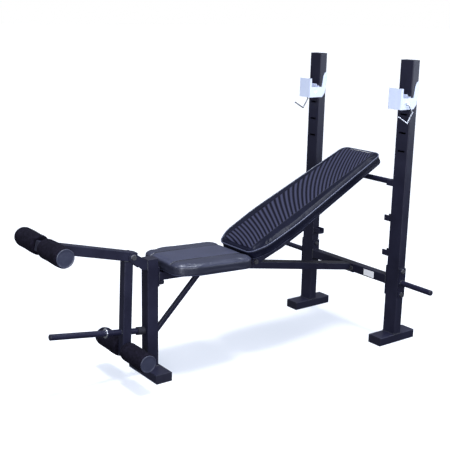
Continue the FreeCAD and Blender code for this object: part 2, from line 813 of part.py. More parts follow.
def back_rails():
    spot = backrest_frame()
    low, rail_top, _, _ = backrest_levels()
    wide = float(S.rail_width)
    tall = float(S.rail_height)
    start = float(S.rail_start)
    length = float(S.rail_end) - start
    rails = []
    caps = []
    lugs = []
    for side in (1, -1):
        y = side * float(S.rail_y)
        outside = Part.makeBox(length, wide, tall, V(start, y - wide / 2, low))
        outside = outside.makeFillet(3, [e for e in outside.Edges if straight_along(V(1, 0, 0))(e)])
        inside = Part.makeBox(length, wide - 4, tall - 4, V(start, y - wide / 2 + 2, low + 2))
        rails.append(outside.cut(inside))
        for end, direction in ((start, -1), (start + length, 1)):
            cap = plug_cap(tall, wide, 2.0, flange=2.5)
            cap.Placement = Placement(V(end, y, (low + rail_top) / 2), Rotation(Y_AXIS, 90 * direction))
            caps.append(cap)
        lugs.append(pivot_lug(side))
    group("back_rails", rails).Placement = spot
    group("back_rail_caps", caps).Placement = spot
    group("pivot_lugs", lugs).Placement = spot


def pivot_lug(side):
    """A long deep plate on the rail's outer face, with an eye for the hinge axle."""
    outer = float(S.rail_y + S.rail_width / 2)
    base = outer if side > 0 else -outer - LUG_SHEET
    _, rail_top, _, _ = backrest_levels()
    eye = Part.makeCylinder(19, LUG_SHEET, V(0, base, 0), Y_AXIS)
    corners = [V(-8, base, 17.2), V(20, base, rail_top), V(335, base, rail_top),
               V(290, base, -30), V(150, base, -30), V(8, base, -17.2)]
    arm = Part.Face(Part.makePolygon(corners + corners[:1])).extrude(V(0, LUG_SHEET, 0))
    hole = Part.makeCylinder(float(S.axle_radius), LUG_SHEET, V(0, base, 0), Y_AXIS)
    return eye.fuse(arm).cut(hole).removeSplitter()


def hinge():
    """Sleeve welded across the beam on two ears, bushes in its ends, one long axle."""
    centre = V(S.hinge_x, 0, S.hinge_z)
    sleeve = body("pivot_sleeve")
    face = sketch(sleeve, "XZ_Plane")
    circle(face, 0, 0, SLEEVE_RADIUS)
    circle(face, 0, 0, BUSH_RADIUS)
    pad(sleeve, face, 2 * SLEEVE_HALF, symmetric=True)
    place(sleeve, centre)
    bushes = []
    for side in (1, -1):
        flange = 0.3
        bush = Part.makeCylinder(BUSH_RADIUS, 20, V(0, 0, -20)).fuse(
            Part.makeCylinder(SLEEVE_RADIUS, flange))
        bore = Part.makeCylinder(float(S.axle_radius + S.running_gap), 30, V(0, 0, -25))
        bushes.append(set_at(bush.cut(bore).removeSplitter(),
                             centre + V(0, side * SLEEVE_HALF, 0), V(0, side, 0)))
    group("pivot_bushes", bushes)
    length = 2 * float(S.rail_y + S.rail_width / 2 + LUG_SHEET)
    axle = bolt(float(S.axle_radius), length, head=8, nut=9, tail=3)
    spot = V(0, length / 2, 0)
    group("pivot_axle", [set_at(axle, spot, Y_AXIS)]).Placement = backrest_frame()


def pivot_bracket():
    """Two ears on the beam's sides that carry the hinge sleeve."""
    ears = []
    hx = float(S.hinge_x)
    hz = float(S.hinge_z)
    thick = 4.0
    beam_side = float(S.beam_width) / 2
    for side in (1, -1):
        base = side * beam_side if side > 0 else -beam_side - thick
        corners = [V(hx - 22, base, hz), V(hx - 30, base, hz - 45), V(hx + 75, base, hz - 55),
                   V(hx + 78, base, hz - 38), V(hx + 16, base, hz + 15.1)]
        web = Part.Face(Part.makePolygon(corners + corners[:1])).extrude(V(0, thick, 0))
        eye = Part.makeCylinder(22, thick, V(hx, base, hz), Y_AXIS)
        hole = Part.makeCylinder(SLEEVE_RADIUS, thick, V(hx, base, hz), Y_AXIS)
        ears.append(web.fuse(eye).cut(hole).removeSplitter())
    group("pivot_bracket", ears)


# ---------------------------------------------------------------- leg developer


def lever_axis():
    return V(S.lever_x, 0, S.lever_z)


def leg_bracket():
    """A folded U bracket on the post's front face, its cheeks each side of the lever."""
    bracket = body("leg_bracket")
    px = float(S.lever_x)
    pz = float(S.lever_z)
    face = float(S.post_x - S.post_size / 2)
    outline = sketch(bracket, "XZ_Plane")
    polygon(outline, [(px - 12.6, pz - 15.5), (-425, 470), (face, 470), (face, 507), (px, pz + 20)])
    width = 2 * (CHEEK_INNER + CHEEK_SHEET)
    pad(bracket, outline, width, symmetric=True)
    eye = sketch(bracket, "XZ_Plane")
    circle(eye, px, pz, 20)
    pad(bracket, eye, width, symmetric=True)
    room = sketch(bracket, "XZ_Plane")
    rectangle(room, px - 40, face - CHEEK_SHEET, 440, 570)
    pocket(bracket, room, 2 * CHEEK_INNER)
    hole = sketch(bracket, "XZ_Plane")
    circle(hole, px, pz, S.axle_radius)
    pocket(bracket, hole)
    grip = width
    pivot = bolt(float(S.axle_radius), grip, head=8, nut=9, tail=3)
    group("lever_pivot_bolt", [set_at(pivot, V(px, -grip / 2, pz), V(0, -1, 0))])


def upper_arm_turn():
    """Turns a tube's own +Z to run forwards and up from the pivot."""
    return Rotation(Y_AXIS, float(S.lever_rise) - 90)


def lower_arm_lean():
    """Lean of the lower arm, in degrees about +Y, so that it ends over the lower roller."""
    return 2.05


def lower_foot():
    return V(S.lower_x, 0, S.lower_z)


def reach_to_upper_arm(x):
    """Height, along the lower arm, at which its own x meets the upper arm's underside."""
    lean = Rotation(Y_AXIS, lower_arm_lean())
    square = upper_arm_turn().multVec(V(1, 0, 0))
    under = lever_axis() - square * (float(S.lever_size) / 2)
    start = lower_foot() + lean.multVec(V(x, 0, 0))
    climb = lean.multVec(V(0, 0, 1))
    return (under - start).dot(square) / climb.dot(square)


def peg_cross():
    """Height along the lower arm at which the weight peg's axis crosses it."""
    return float(S.peg_root_z - S.lower_z)


def lever_arms():
    size = S.lever_size
    bores = [(0, ARM_REAR, LEVER_BUSH_RADIUS), (0, S.upper_reach + ARM_REAR, S.bar_radius)]
    length = S.upper_reach + ARM_FRONT + ARM_REAR
    upper = tube("lever_upper_arm", size, size, length, S.tube_wall, across=bores)
    turn = upper_arm_turn()
    along = turn.multVec(V(0, 0, 1))
    place(upper, lever_axis() - along * ARM_REAR, turn)

    side = float(size) / 2 + 5
    front_top = reach_to_upper_arm(-side) + ARM_TAIL
    rear_top = reach_to_upper_arm(side) + ARM_TAIL
    highest = max(front_top, rear_top)
    bores = [(0, ARM_TAIL, S.bar_radius)]
    lower = tube("lever_lower_arm", size, size, highest, S.tube_wall, across=bores)
    slant = sketch(lower, "XZ_Plane")
    polygon(slant, [(-side, front_top), (side, rear_top), (side, highest + 50), (-side, highest + 50)])
    pocket(lower, slant)
    through = sketch(lower, "YZ_Plane", tilt=float(S.peg_rise) - lower_arm_lean(),
                     lift=peg_cross() + ARM_TAIL)
    circle(through, 0, 0, S.peg_radius)
    pocket(lower, through)
    lean = Rotation(Y_AXIS, lower_arm_lean())
    place(lower, lower_foot() - lean.multVec(V(0, 0, ARM_TAIL)), lean)

    caps = []
    wall = float(S.tube_wall)
    ends = [(lever_axis() + along * float(S.upper_reach + ARM_FRONT), along),
            (lever_axis() - along * ARM_REAR, along * -1),
            (lower_foot() - lean.multVec(V(0, 0, ARM_TAIL)), lean.multVec(V(0, 0, -1)))]
    for point, outward in ends:
        cap = plug_cap(float(size), float(size), wall, insert=8.0)
        caps.append(set_at(cap, point, outward))
    group("lever_arm_caps", caps)


def lever_bushes():
    bushes = []
    half = float(S.lever_size) / 2
    for side in (1, -1):
        bush = Part.makeCylinder(LEVER_BUSH_RADIUS, 10, V(0, 0, -10)).fuse(
            Part.makeCylinder(LEVER_BUSH_RADIUS + 4, CHEEK_INNER - half - 0.2))
        bore = Part.makeCylinder(float(S.axle_radius + S.running_gap), 14, V(0, 0, -11))
        shape = bush.cut(bore).removeSplitter()
        bushes.append(set_at(shape, lever_axis() + V(0, side * half, 0), V(0, side, 0)))
    group("lever_bushes", bushes)


def roller_centres():
    upper = lever_axis() + upper_arm_turn().multVec(V(0, 0, S.upper_reach))
    return (("upper", upper), ("lower", lower_foot()))


def rollers():
    """Two cross tubes with a collar, a foam roller and an end cap on each side."""
    outer = S.roller_outer_y + S.contact_gap
    collars = []
    caps = []
    for level, centre in roller_centres():
        bar = body(f"{level}_roller_tube")
        face = sketch(bar, "XZ_Plane")
        circle(face, 0, 0, S.bar_radius)
        circle(face, 0, 0, S.bar_radius - S.tube_wall)
        pad(bar, face, 2 * outer, symmetric=True)
        place(bar, centre)
        for side, sign in (("left", 1), ("right", -1)):
            foam = body(f"{level}_{side}_foam")
            face = sketch(foam, "XZ_Plane")
            circle(face, 0, 0, S.roller_radius)
            circle(face, 0, 0, S.bar_radius + S.running_gap)
            pad(foam, face, S.roller_outer_y - S.roller_inner_y, symmetric=True)
            place(foam, centre + V(0, sign * (S.roller_outer_y + S.roller_inner_y) / 2, 0))
            arm = float(S.lever_size) / 2
            collar = Part.makeCylinder(17, 4).cut(Part.makeCylinder(float(S.bar_radius), 4))
            collars.append(set_at(collar, centre + V(0, sign * arm, 0), V(0, sign, 0)))
            cap = round_cap(float(S.roller_cap_radius), float(S.bar_radius - S.tube_wall), 5.7)
            caps.append(set_at(cap, centre + V(0, sign * outer, 0), V(0, sign, 0)))
    group("roller_collars", collars)
    group("roller_caps", caps)


def weight_peg():
    """A rod through the lower arm: plates load in front, a rubber stop meets the post behind."""
    turn = Rotation(Y_AXIS, float(S.peg_rise) - 90)
    lean = Rotation(Y_AXIS, lower_arm_lean())
    centre = lower_foot() + lean.multVec(V(0, 0, peg_cross()))
    peg = body("weight_peg")
    rod = sketch(peg, "XY_Plane", shift=-float(S.peg_back))
    circle(rod, 0, 0, S.peg_radius)
    pad(peg, rod, S.peg_front - PEG_CAP + S.peg_back)
    collar = sketch(peg, "XY_Plane", shift=RING_AT)
    circle(collar, 0, 0, S.peg_radius + 10)
    pad(peg, collar, 5.0)
    bore = sketch(peg, "XY_Plane")
    circle(bore, 0, 0, S.peg_radius - 2.5)
    pocket(peg, bore)
    place(peg, centre, turn)

    along = turn.multVec(V(0, 0, 1))
    cap = round_cap(float(S.peg_radius), float(S.peg_radius) - 2.5, PEG_CAP)
    tip = centre + along * (float(S.peg_front) - PEG_CAP)
    group("weight_peg_cap", [set_at(cap, tip, along)])

    bumper = Part.makeCylinder(17, 35)
    bumper = bumper.makeFillet(3, [edge for edge in bumper.Edges if edge.CenterOfMass.z > 34.9])
    bumper = bumper.cut(Part.makeCylinder(float(S.peg_radius), BUMPER_SOCKET))
    root = centre - along * (float(S.peg_back) - BUMPER_SOCKET)
    group("stop_bumper", [set_at(bumper, root, along * -1)])


# ---------------------------------------------------------------- bar catches


def catch_origin(sign):
    return V(0, sign * float(S.rack_half_spacing), 0)


def catches():
    """A folded channel astride each upright; its tongue hooks down into the top slot."""
    front = S.catch_front
    low = S.catch_low
    face = S.upright_front
    slot = S.slot_top
    thick = S.catch_sheet
    lip = 8.0
    for side, sign in (("left", 1), ("right", -1)):
        catch = body(f"{side}_bar_catch")
        profile = sketch(catch, "XZ_Plane")
        polygon(profile, [
            (front, low), (face + 16, low), (face + 32, low + 18), (face + 38, slot),
            (face + 48, slot + 47), (face + 44, slot + 62), (face + 31, slot + 62),
            (face + 21, slot + 44), (face + 13, slot - 7), (front + lip, slot - 6),
            (front + lip, slot + 35), (front, slot + 35)])
        outer = pad(catch, profile, S.catch_inner + 2 * thick, symmetric=True)

        def horn_tip(edge):
            high = edge.CenterOfMass.z > float(slot) + 50
            return high and straight_along(Y_AXIS)(edge)

        tip = round_edges(catch, outer, 5.0, horn_tip)

        def front_corner(edge):
            return abs(edge.CenterOfMass.x - front) < 0.01 and straight_along(V(0, 0, 1))(edge)

        round_edges(catch, tip, S.catch_bend, front_corner)
        room = sketch(catch, "XY_Plane", shift=float(low) - 30)
        half = S.catch_inner / 2
        nose = S.catch_bend - thick
        polygon(room, [(front + thick, nose - half), (front + thick + nose, -half), (face + 80, -half),
                       (face + 80, half), (front + thick + nose, half), (front + thick, half - nose)])
        channel = catch.newObject("PartDesign::Pocket", "Channel")
        channel.Profile = room
        channel.Reversed = True
        channel.Length = float(slot - low) + 150
        web = sketch(catch, "XZ_Plane")
        rectangle(web, face - 7, face - 3, low + 15, slot - 1)
        pad(catch, web, S.catch_inner, symmetric=True)
        tongue = sketch(catch, "XZ_Plane")
        polygon(tongue, [(face - 3.5, slot + 2.3), (face + 10, slot - 11.2),
                         (face + 12.475, slot - 8.725), (face - 3.5, slot + 7.25),
                         (face - 7, slot + 7.25), (face - 7, slot - 4), (face - 3.5, slot - 4)])
        pad(catch, tongue, 36, symmetric=True)
        holes = sketch(catch, "XZ_Plane")
        circle(holes, S.pin_x, S.pin_z, S.pin_radius + S.running_gap)
        pocket(catch, holes)
        place(catch, catch_origin(sign))


def lock_pins():
    """A pin through both cheeks of each catch, with an open wire handle on the outside."""
    half = float(S.catch_inner) / 2 + float(S.catch_sheet)
    radius = float(S.pin_radius)
    wire = float(S.pin_wire)
    out = half + 10
    for side, sign in (("left", 1), ("right", -1)):
        shank = Part.makeCylinder(radius, out + half, V(0, -half, 0), Y_AXIS)
        head = Part.makeCylinder(radius + 3, 1.5, V(0, half + 0.3, 0), Y_AXIS)
        path = [V(0, out - wire, 0), V(30, out - wire, -39), V(0, out - wire, -85),
                V(-56, out - wire, -54)]
        shape = shank.fuse([head, bent_wire(path, wire)])
        made = group(f"{side}_lock_pin", [shape if sign > 0 else shape.mirror(V(0, 0, 0), Y_AXIS)])
        made.Placement = Placement(V(S.pin_x, sign * S.rack_half_spacing, S.pin_z), Rotation())


def bent_wire(points, radius):
    """Round rods from point to point with a ball at each bend."""
    pieces = []
    for start, end in zip(points, points[1:]):
        run = end - start
        pieces.append(Part.makeCylinder(radius, run.Length, start, run))
        pieces.append(Part.makeSphere(radius, end))
    return pieces[0].fuse(pieces[1:])


# ---------------------------------------------------------------- build, check and write


def build():
    for make in (rack_feet, front_foot, foot_caps, front_post, main_beam, beam_end_plates,
                 beam_bolts, post_knob, brace_strut, uprights, upright_caps, cross_beam, cross_beam_bolts,
                 storage_pegs, storage_peg_caps, saddles, support_bar, label_plate, seat,
                 backrest, back_rails, hinge, pivot_bracket, leg_bracket, lever_arms,
                 lever_bushes, rollers, weight_peg, catches, lock_pins):
        make()
    doc.recompute()


def check_and_write():
    for thing in doc.Objects:
        if "Invalid" in thing.State or "Error" in thing.State:
            raise RuntimeError(f"{thing.Label} failed: {thing.State}")
    os.makedirs("parts", exist_ok=True)
    for node in NODES:
        shape = node.Shape
        if shape.isNull() or not shape.isValid() or not shape.Solids:
            raise RuntimeError(f"{node.Label} has no valid shape")
        shape.exportStep(f"parts/{node.Label}.step")
    print(f"{len(NODES)} nodes written")


build()
check_and_write()
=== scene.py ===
"""Looks of the adjustable weight bench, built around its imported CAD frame."""
import json
import math

import bpy
import numpy as np
from mathutils import Matrix, Vector

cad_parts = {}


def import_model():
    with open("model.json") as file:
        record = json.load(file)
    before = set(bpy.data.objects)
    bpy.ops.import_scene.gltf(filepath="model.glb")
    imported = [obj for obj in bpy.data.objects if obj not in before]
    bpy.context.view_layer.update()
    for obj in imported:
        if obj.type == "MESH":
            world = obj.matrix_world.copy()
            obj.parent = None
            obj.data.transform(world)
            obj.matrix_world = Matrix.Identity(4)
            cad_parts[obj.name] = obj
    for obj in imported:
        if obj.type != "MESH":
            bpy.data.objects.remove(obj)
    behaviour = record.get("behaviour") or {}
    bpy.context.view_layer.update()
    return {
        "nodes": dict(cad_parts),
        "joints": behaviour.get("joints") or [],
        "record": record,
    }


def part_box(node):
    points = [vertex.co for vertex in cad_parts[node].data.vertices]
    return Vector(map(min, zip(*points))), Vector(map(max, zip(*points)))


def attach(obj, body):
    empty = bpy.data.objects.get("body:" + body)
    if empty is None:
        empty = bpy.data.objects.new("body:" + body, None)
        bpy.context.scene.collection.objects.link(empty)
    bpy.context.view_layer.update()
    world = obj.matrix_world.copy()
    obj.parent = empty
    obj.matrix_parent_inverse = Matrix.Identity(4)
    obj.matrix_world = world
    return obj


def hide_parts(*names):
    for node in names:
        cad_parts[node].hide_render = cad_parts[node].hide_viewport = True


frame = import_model()
NODES = frame["nodes"]
JOINTS = {joint["name"]: joint for joint in frame["joints"]}
MM = 0.001

# ---------------------------------------------------------------- shader helpers


class Shader:
    """A Principled material with its nodes added in short calls."""

    def __init__(self, name, **sockets):
        self.material = bpy.data.materials.new(name)
        self.material.use_nodes = True
        self.tree = self.material.node_tree
        self.main = self.tree.nodes["Principled BSDF"]
        for socket, value in sockets.items():
            self.main.inputs[socket.replace("_", " ")].default_value = value
        self.where = self.add("ShaderNodeTexCoord").outputs["Object"]
        self.normal = None

    def add(self, kind, links=(), **values):
        """A node with its settings, and a source or a constant on each named socket."""
        node = self.tree.nodes.new(kind)
        for key, value in values.items():
            setattr(node, key, value)
        for socket, source in dict(links).items():
            if hasattr(source, "is_linked"):
                self.tree.links.new(source, node.inputs[socket])
            else:
                node.inputs[socket].default_value = source
        return node

    def noise(self, scale, detail, rough=0.55, where=None):
        links = {"Vector": where or self.where, "Scale": scale, "Detail": detail,
                 "Roughness": rough}
        return self.add("ShaderNodeTexNoise", links).outputs["Fac"]

    def cells(self, scale, feature="F1"):
        links = {"Vector": self.where, "Scale": scale}
        return self.add("ShaderNodeTexVoronoi", links, feature=feature).outputs["Distance"]

    def stretch(self, source, low, high, to_low=0.0, to_high=1.0):
        """The source's range low to high, mapped to another range and clamped to it."""
        links = {"Value": source, "From Min": low, "From Max": high, "To Min": to_low,
                 "To Max": to_high}
        return self.add("ShaderNodeMapRange", links).outputs["Result"]

    def maths(self, operation, a, b=0.0):
        return self.add("ShaderNodeMath", {0: a, 1: b}, operation=operation).outputs[0]

    def mix(self, share, a, b):
        """Colour a turning into colour b as the share goes from 0 to 1."""
        node = self.add("ShaderNodeMix", {0: share}, data_type="RGBA")
        for index, value in ((6, a), (7, b)):
            if hasattr(value, "is_linked"):
                self.tree.links.new(value, node.inputs[index])
            else:
                node.inputs[index].default_value = (*value, 1)
        return node.outputs[2]

    def color(self, source):
        self.tree.links.new(source, self.main.inputs["Base Color"])

    def rough(self, source):
        self.tree.links.new(source, self.main.inputs["Roughness"])

    def bump(self, source, depth, strength=1.0):
        """Stack one more bump of a depth in metres."""
        links = {"Height": source, "Distance": depth, "Strength": strength}
        if self.normal is not None:
            links["Normal"] = self.normal
        self.normal = self.add("ShaderNodeBump", links).outputs["Normal"]
        self.tree.links.new(self.normal, self.main.inputs["Normal"])

    def attribute(self, name):
        return self.add("ShaderNodeAttribute", attribute_name=name).outputs["Fac"]


def soften_edges(shader, radius):
    """Start the normal from rounded edges, so that folded and cut metal catches light."""
    shader.normal = shader.add("ShaderNodeBevel", {"Radius": radius}, samples=4).outputs["Normal"]
    shader.tree.links.new(shader.normal, shader.main.inputs["Normal"])


# ---------------------------------------------------------------- materials


def powder_coat(name, roughness):
    """Blue-black powder coat with orange peel, dust and rubbed patches."""
    s = Shader(name, Specular_IOR_Level=0.30)
    soften_edges(s, 0.0012)
    broad = s.noise(9, 4)
    fine = s.noise(260, 3)
    dust = s.stretch(s.noise(34, 6, 0.7), 0.52, 0.78)
    tone = s.mix(s.stretch(broad, 0.3, 0.7), (0.0078, 0.0079, 0.0185), (0.0120, 0.0121, 0.0275))
    s.color(s.mix(s.maths("MULTIPLY", dust, 0.35), tone, (0.019, 0.020, 0.039)))
    s.rough(s.stretch(s.maths("ADD", broad, s.maths("MULTIPLY", fine, 0.6)), 0.4, 1.2,
                      roughness - 0.08, roughness + 0.09))
    s.bump(fine, 0.00018, 0.7)
    s.bump(s.noise(900, 2), 0.00005, 0.5)
    return s.material


def moulded_black():
    """Black plastic of the caps and bushes."""
    s = Shader("moulded_black", Specular_IOR_Level=0.3)
    soften_edges(s, 0.0008)
    s.color(s.mix(s.noise(60, 4), (0.008, 0.008, 0.016), (0.015, 0.015, 0.028)))
    s.rough(s.stretch(s.noise(120, 3), 0.3, 0.7, 0.44, 0.6))
    s.bump(s.noise(1400, 3), 0.00007, 0.8)
    return s.material


def roller_disc():
    """Satin blue-grey moulded discs at the rollers' ends, finely spark-textured."""
    s = Shader("roller_disc", Specular_IOR_Level=0.4)
    soften_edges(s, 0.0006)
    s.color(s.mix(s.noise(45, 5), (0.020, 0.022, 0.039), (0.030, 0.033, 0.054)))
    s.rough(s.stretch(s.noise(90, 4), 0.3, 0.7, 0.28, 0.44))
    s.bump(s.noise(1600, 2), 0.00005, 0.7)
    return s.material


def black_zinc():
    """Dark plating of bolts and washers."""
    s = Shader("black_zinc", Metallic=0.8)
    soften_edges(s, 0.0006)
    s.color(s.mix(s.noise(150, 5), (0.06, 0.06, 0.068), (0.20, 0.20, 0.22)))
    s.rough(s.stretch(s.noise(300, 3), 0.3, 0.7, 0.28, 0.48))
    return s.material


def pale_coat():
    """Pale silver coat on the folded catches, with rub marks in random patches over it."""
    s = Shader("pale_coat")
    soften_edges(s, 0.0010)
    scuffs = s.stretch(s.noise(70, 7, 0.75), 0.55, 0.75)
    tone = s.mix(s.noise(16, 3), (0.62, 0.68, 0.845), (0.70, 0.757, 0.88))
    s.color(s.mix(s.maths("MULTIPLY", scuffs, 0.4), tone, (0.475, 0.53, 0.65)))
    s.rough(s.stretch(s.noise(120, 4), 0.3, 0.7, 0.3, 0.46))
    s.bump(s.noise(420, 3), 0.00012, 0.6)
    return s.material


def bright_rod():
    """Bright plated steel of the lock pins and the peg's washer."""
    s = Shader("bright_rod", Metallic=0.95)
    s.color(s.mix(s.noise(260, 4), (0.62, 0.64, 0.69), (0.80, 0.82, 0.86)))
    s.rough(s.stretch(s.noise(500, 3), 0.3, 0.7, 0.18, 0.34))
    return s.material


def foam():
    """Matte closed-cell foam: fine pores, softer shallow dents."""
    s = Shader("closed_cell_foam", Roughness=0.92, Specular_IOR_Level=0.07)
    pores = s.cells(520)
    tone = s.mix(s.stretch(pores, 0.0, 0.7), (0.0022, 0.0018, 0.0040), (0.0085, 0.0072, 0.0140))
    mottle = s.stretch(s.noise(95, 3), 0.38, 0.66, 0.0, 0.7)
    s.color(s.mix(mottle, tone, (0.0015, 0.0012, 0.0030)))
    s.bump(pores, 0.0005, 0.9)
    s.bump(s.noise(28, 3), 0.0018, 0.5)
    return s.material


def rubber():
    """Dull rubber of the lever's stop."""
    s = Shader("black_rubber", Roughness=0.75, Specular_IOR_Level=0.3)
    s.color(s.mix(s.noise(120, 5), (0.005, 0.005, 0.009), (0.013, 0.013, 0.020)))
    s.bump(s.noise(700, 3), 0.0001, 0.8)
    return s.material


def plywood():
    """Thin black-stained plywood: long grain with open pores."""
    s = Shader("stained_plywood", Roughness=0.8)
    grain = s.add("ShaderNodeMapping", {"Vector": s.where, "Scale": (6, 60, 60)}).outputs[0]
    lines = s.noise(9, 6, 0.65, grain)
    s.color(s.mix(s.stretch(lines, 0.35, 0.7), (0.016, 0.014, 0.013), (0.052, 0.043, 0.036)))
    s.bump(lines, 0.0003, 0.8)
    return s.material


def vinyl(name, dark, light, roughness, specular, ribs=False, seams=False):
    """Grained dark vinyl; the backrest's is pressed into ribs, with painted highlights on the
    crests and painted shade in the grooves; the seat's has painted shade in its seams and on its
    sides, and darker wings outside the seams.
    """
    s = Shader(name, Specular_IOR_Level=specular)
    grain = s.cells(620, "SMOOTH_F1")
    wrinkle = s.noise(1100, 3)
    cloud = s.noise(14, 4)
    tone = s.mix(s.stretch(cloud, 0.3, 0.7), dark, light)
    tone = s.mix(s.stretch(grain, 0.15, 0.5, 0.0, 0.5), tone,
                 tuple(0.55 * value for value in dark))
    s.rough(s.stretch(s.maths("ADD", cloud, wrinkle), 0.6, 1.4,
                      roughness - 0.07, roughness + 0.08))
    if ribs:
        phase = s.attribute("rib_phase")
        inside = s.stretch(s.attribute("panel_depth"), 0.0, 0.003)
        wave = s.maths("ABSOLUTE", s.maths("SINE", s.maths("MULTIPLY", phase, math.pi)))
        crest = s.maths("POWER", wave, 0.8)
        # Painted light: the rib crests are coloured lighter as a painted highlight, and the
        # grooves darker as painted shade.
        painted_rib_highlight_and_shade = s.mix(s.stretch(wave, 0.45, 1.0), (0.0025, 0.0025, 0.0075), (0.035, 0.036, 0.064))
        tone = s.mix(inside, tone, painted_rib_highlight_and_shade)
        s.bump(s.maths("MULTIPLY", crest, inside), 0.0016, 1.0)
    if seams:
        # Painted shade: darker in the seat's seam grooves and on its sides, and darker wings
        # outside the seams.
        tone = s.mix(s.maths("MULTIPLY", s.attribute("painted_seam_and_side_shade"), 0.95), tone,
                     tuple(0.15 * value for value in dark))
    s.color(tone)
    s.bump(grain, 0.00018, 0.4)
    s.bump(wrinkle, 0.00006, 0.4)
    return s.material


def piping_painted_highlight_vinyl():
    """Smooth satin cover of the cord round the backrest's upper edge, coloured several times
    lighter than the backrest's vinyl as a painted highlight along that edge.
    """
    s = Shader("piping_painted_highlight_vinyl", Roughness=0.34, Specular_IOR_Level=0.45)
    # Painted highlight: the cover is coloured several times lighter than the backrest's vinyl.
    s.color(s.mix(s.noise(80, 4), (0.034, 0.038, 0.066), (0.055, 0.060, 0.098)))
    s.bump(s.noise(900, 2), 0.00006, 0.5)
    return s.material


def thread():
    """Dark sewing thread."""
    s = Shader("stitch_thread", Roughness=0.7)
    s.color(s.mix(s.noise(2500, 2), (0.008, 0.008, 0.011), (0.03, 0.03, 0.036)))
    return s.material


def staple_steel():
    """Bright steel of the staples under the boards."""
    s = Shader("staple_steel", Base_Color=(0.5, 0.5, 0.52, 1), Metallic=0.9)
    s.rough(s.stretch(s.noise(900, 2), 0.3, 0.7, 0.25, 0.45))
    return s.material


def label_foil():
    """The blank pale label on the cross beam."""
    s = Shader("blank_label", Roughness=0.6)
    s.color(s.mix(s.noise(90, 4), (0.84, 0.83, 0.82), (0.94, 0.93, 0.92)))
    s.bump(s.noise(300, 2), 0.00004, 0.6)
    return s.material


def weld_metal():
    """Weld beads under the same coat as the tubes, a little uneven."""
    s = Shader("painted_weld", Roughness=0.38)
    s.color(s.mix(s.noise(300, 3), (0.009, 0.010, 0.015), (0.020, 0.021, 0.030)))
    s.bump(s.noise(500, 3), 0.0002, 0.8)
    return s.material


COAT = powder_coat("powder_coat", 0.42)
PEG_COAT = powder_coat("glossy_coat", 0.26)
PLASTIC = moulded_black()
DISC = roller_disc()
ZINC = black_zinc()
PALE = pale_coat()
ROD = bright_rod()
FOAM = foam()
RUBBER = rubber()
PLY = plywood()
THREAD = thread()
STAPLE = staple_steel()
FOIL = label_foil()
WELD = weld_metal()
# The seat's vinyl is coloured several times lighter than the backrest's, a painted sheen standing
# in for the light on the seat's top; the folded wraps under both boards use it too.
SEAT_VINYL_PAINTED_SHEEN = vinyl("seat_vinyl", (0.029, 0.032, 0.060), (0.044, 0.048, 0.086), 0.38, 0.50,
                   seams=True)
BACK_VINYL = vinyl("back_vinyl", (0.0045, 0.0050, 0.0130), (0.0080, 0.0088, 0.0210), 0.42, 0.08,
                   ribs=True)
PIPING_PAINTED_HIGHLIGHT = piping_painted_highlight_vinyl()

SLOT_MATERIALS = {
    "frame_paint": COAT, "cap_plastic": PLASTIC, "roller_cap_plastic": DISC,
    "bush_plastic": PLASTIC, "bolt_steel": ZINC, "catch_steel": PALE, "pin_steel": ROD,
    "board_wood": PLY, "seat_vinyl": SEAT_VINYL_PAINTED_SHEEN, "back_vinyl": BACK_VINYL, "roller_foam": FOAM,
    "bumper_rubber": RUBBER, "label_foil": FOIL,
}


def dress_nodes():
    """Every carried-over node takes its slot's material; the pegs and the bar are glossier."""
    for part in frame["record"]["subparts"]:
        node = NODES[part["node"]]
        node.data.materials.clear()
        node.data.materials.append(SLOT_MATERIALS[part["material_slot"]])
    for name in ("weight_peg", "left_storage_peg", "right_storage_peg", "support_bar"):
        NODES[name].data.materials[0] = PEG_COAT


# ---------------------------------------------------------------- mesh helpers


def new_piece(name, mesh, body, material, spot=None):
    """Link a mesh whose vertices are in the local frame spot, smooth it and let it ride."""
    if spot is not None:
        mesh.transform(spot)
    mesh.polygons.foreach_set("use_smooth", [True] * len(mesh.polygons))
    piece = bpy.data.objects.new(name, mesh)
    bpy.context.scene.collection.objects.link(piece)
    mesh.materials.clear()
    mesh.materials.append(material)
    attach(piece, body)
    return piece


def mesh_from(name, points, faces):
    mesh = bpy.data.meshes.new(name)
    mesh.from_pydata([tuple(p) for p in points], [], faces)
    mesh.validate()
    mesh.update()
    return mesh


TWIST_LIMIT = 0.9  # cosine beyond which a closed tube's last ring can't meet its first


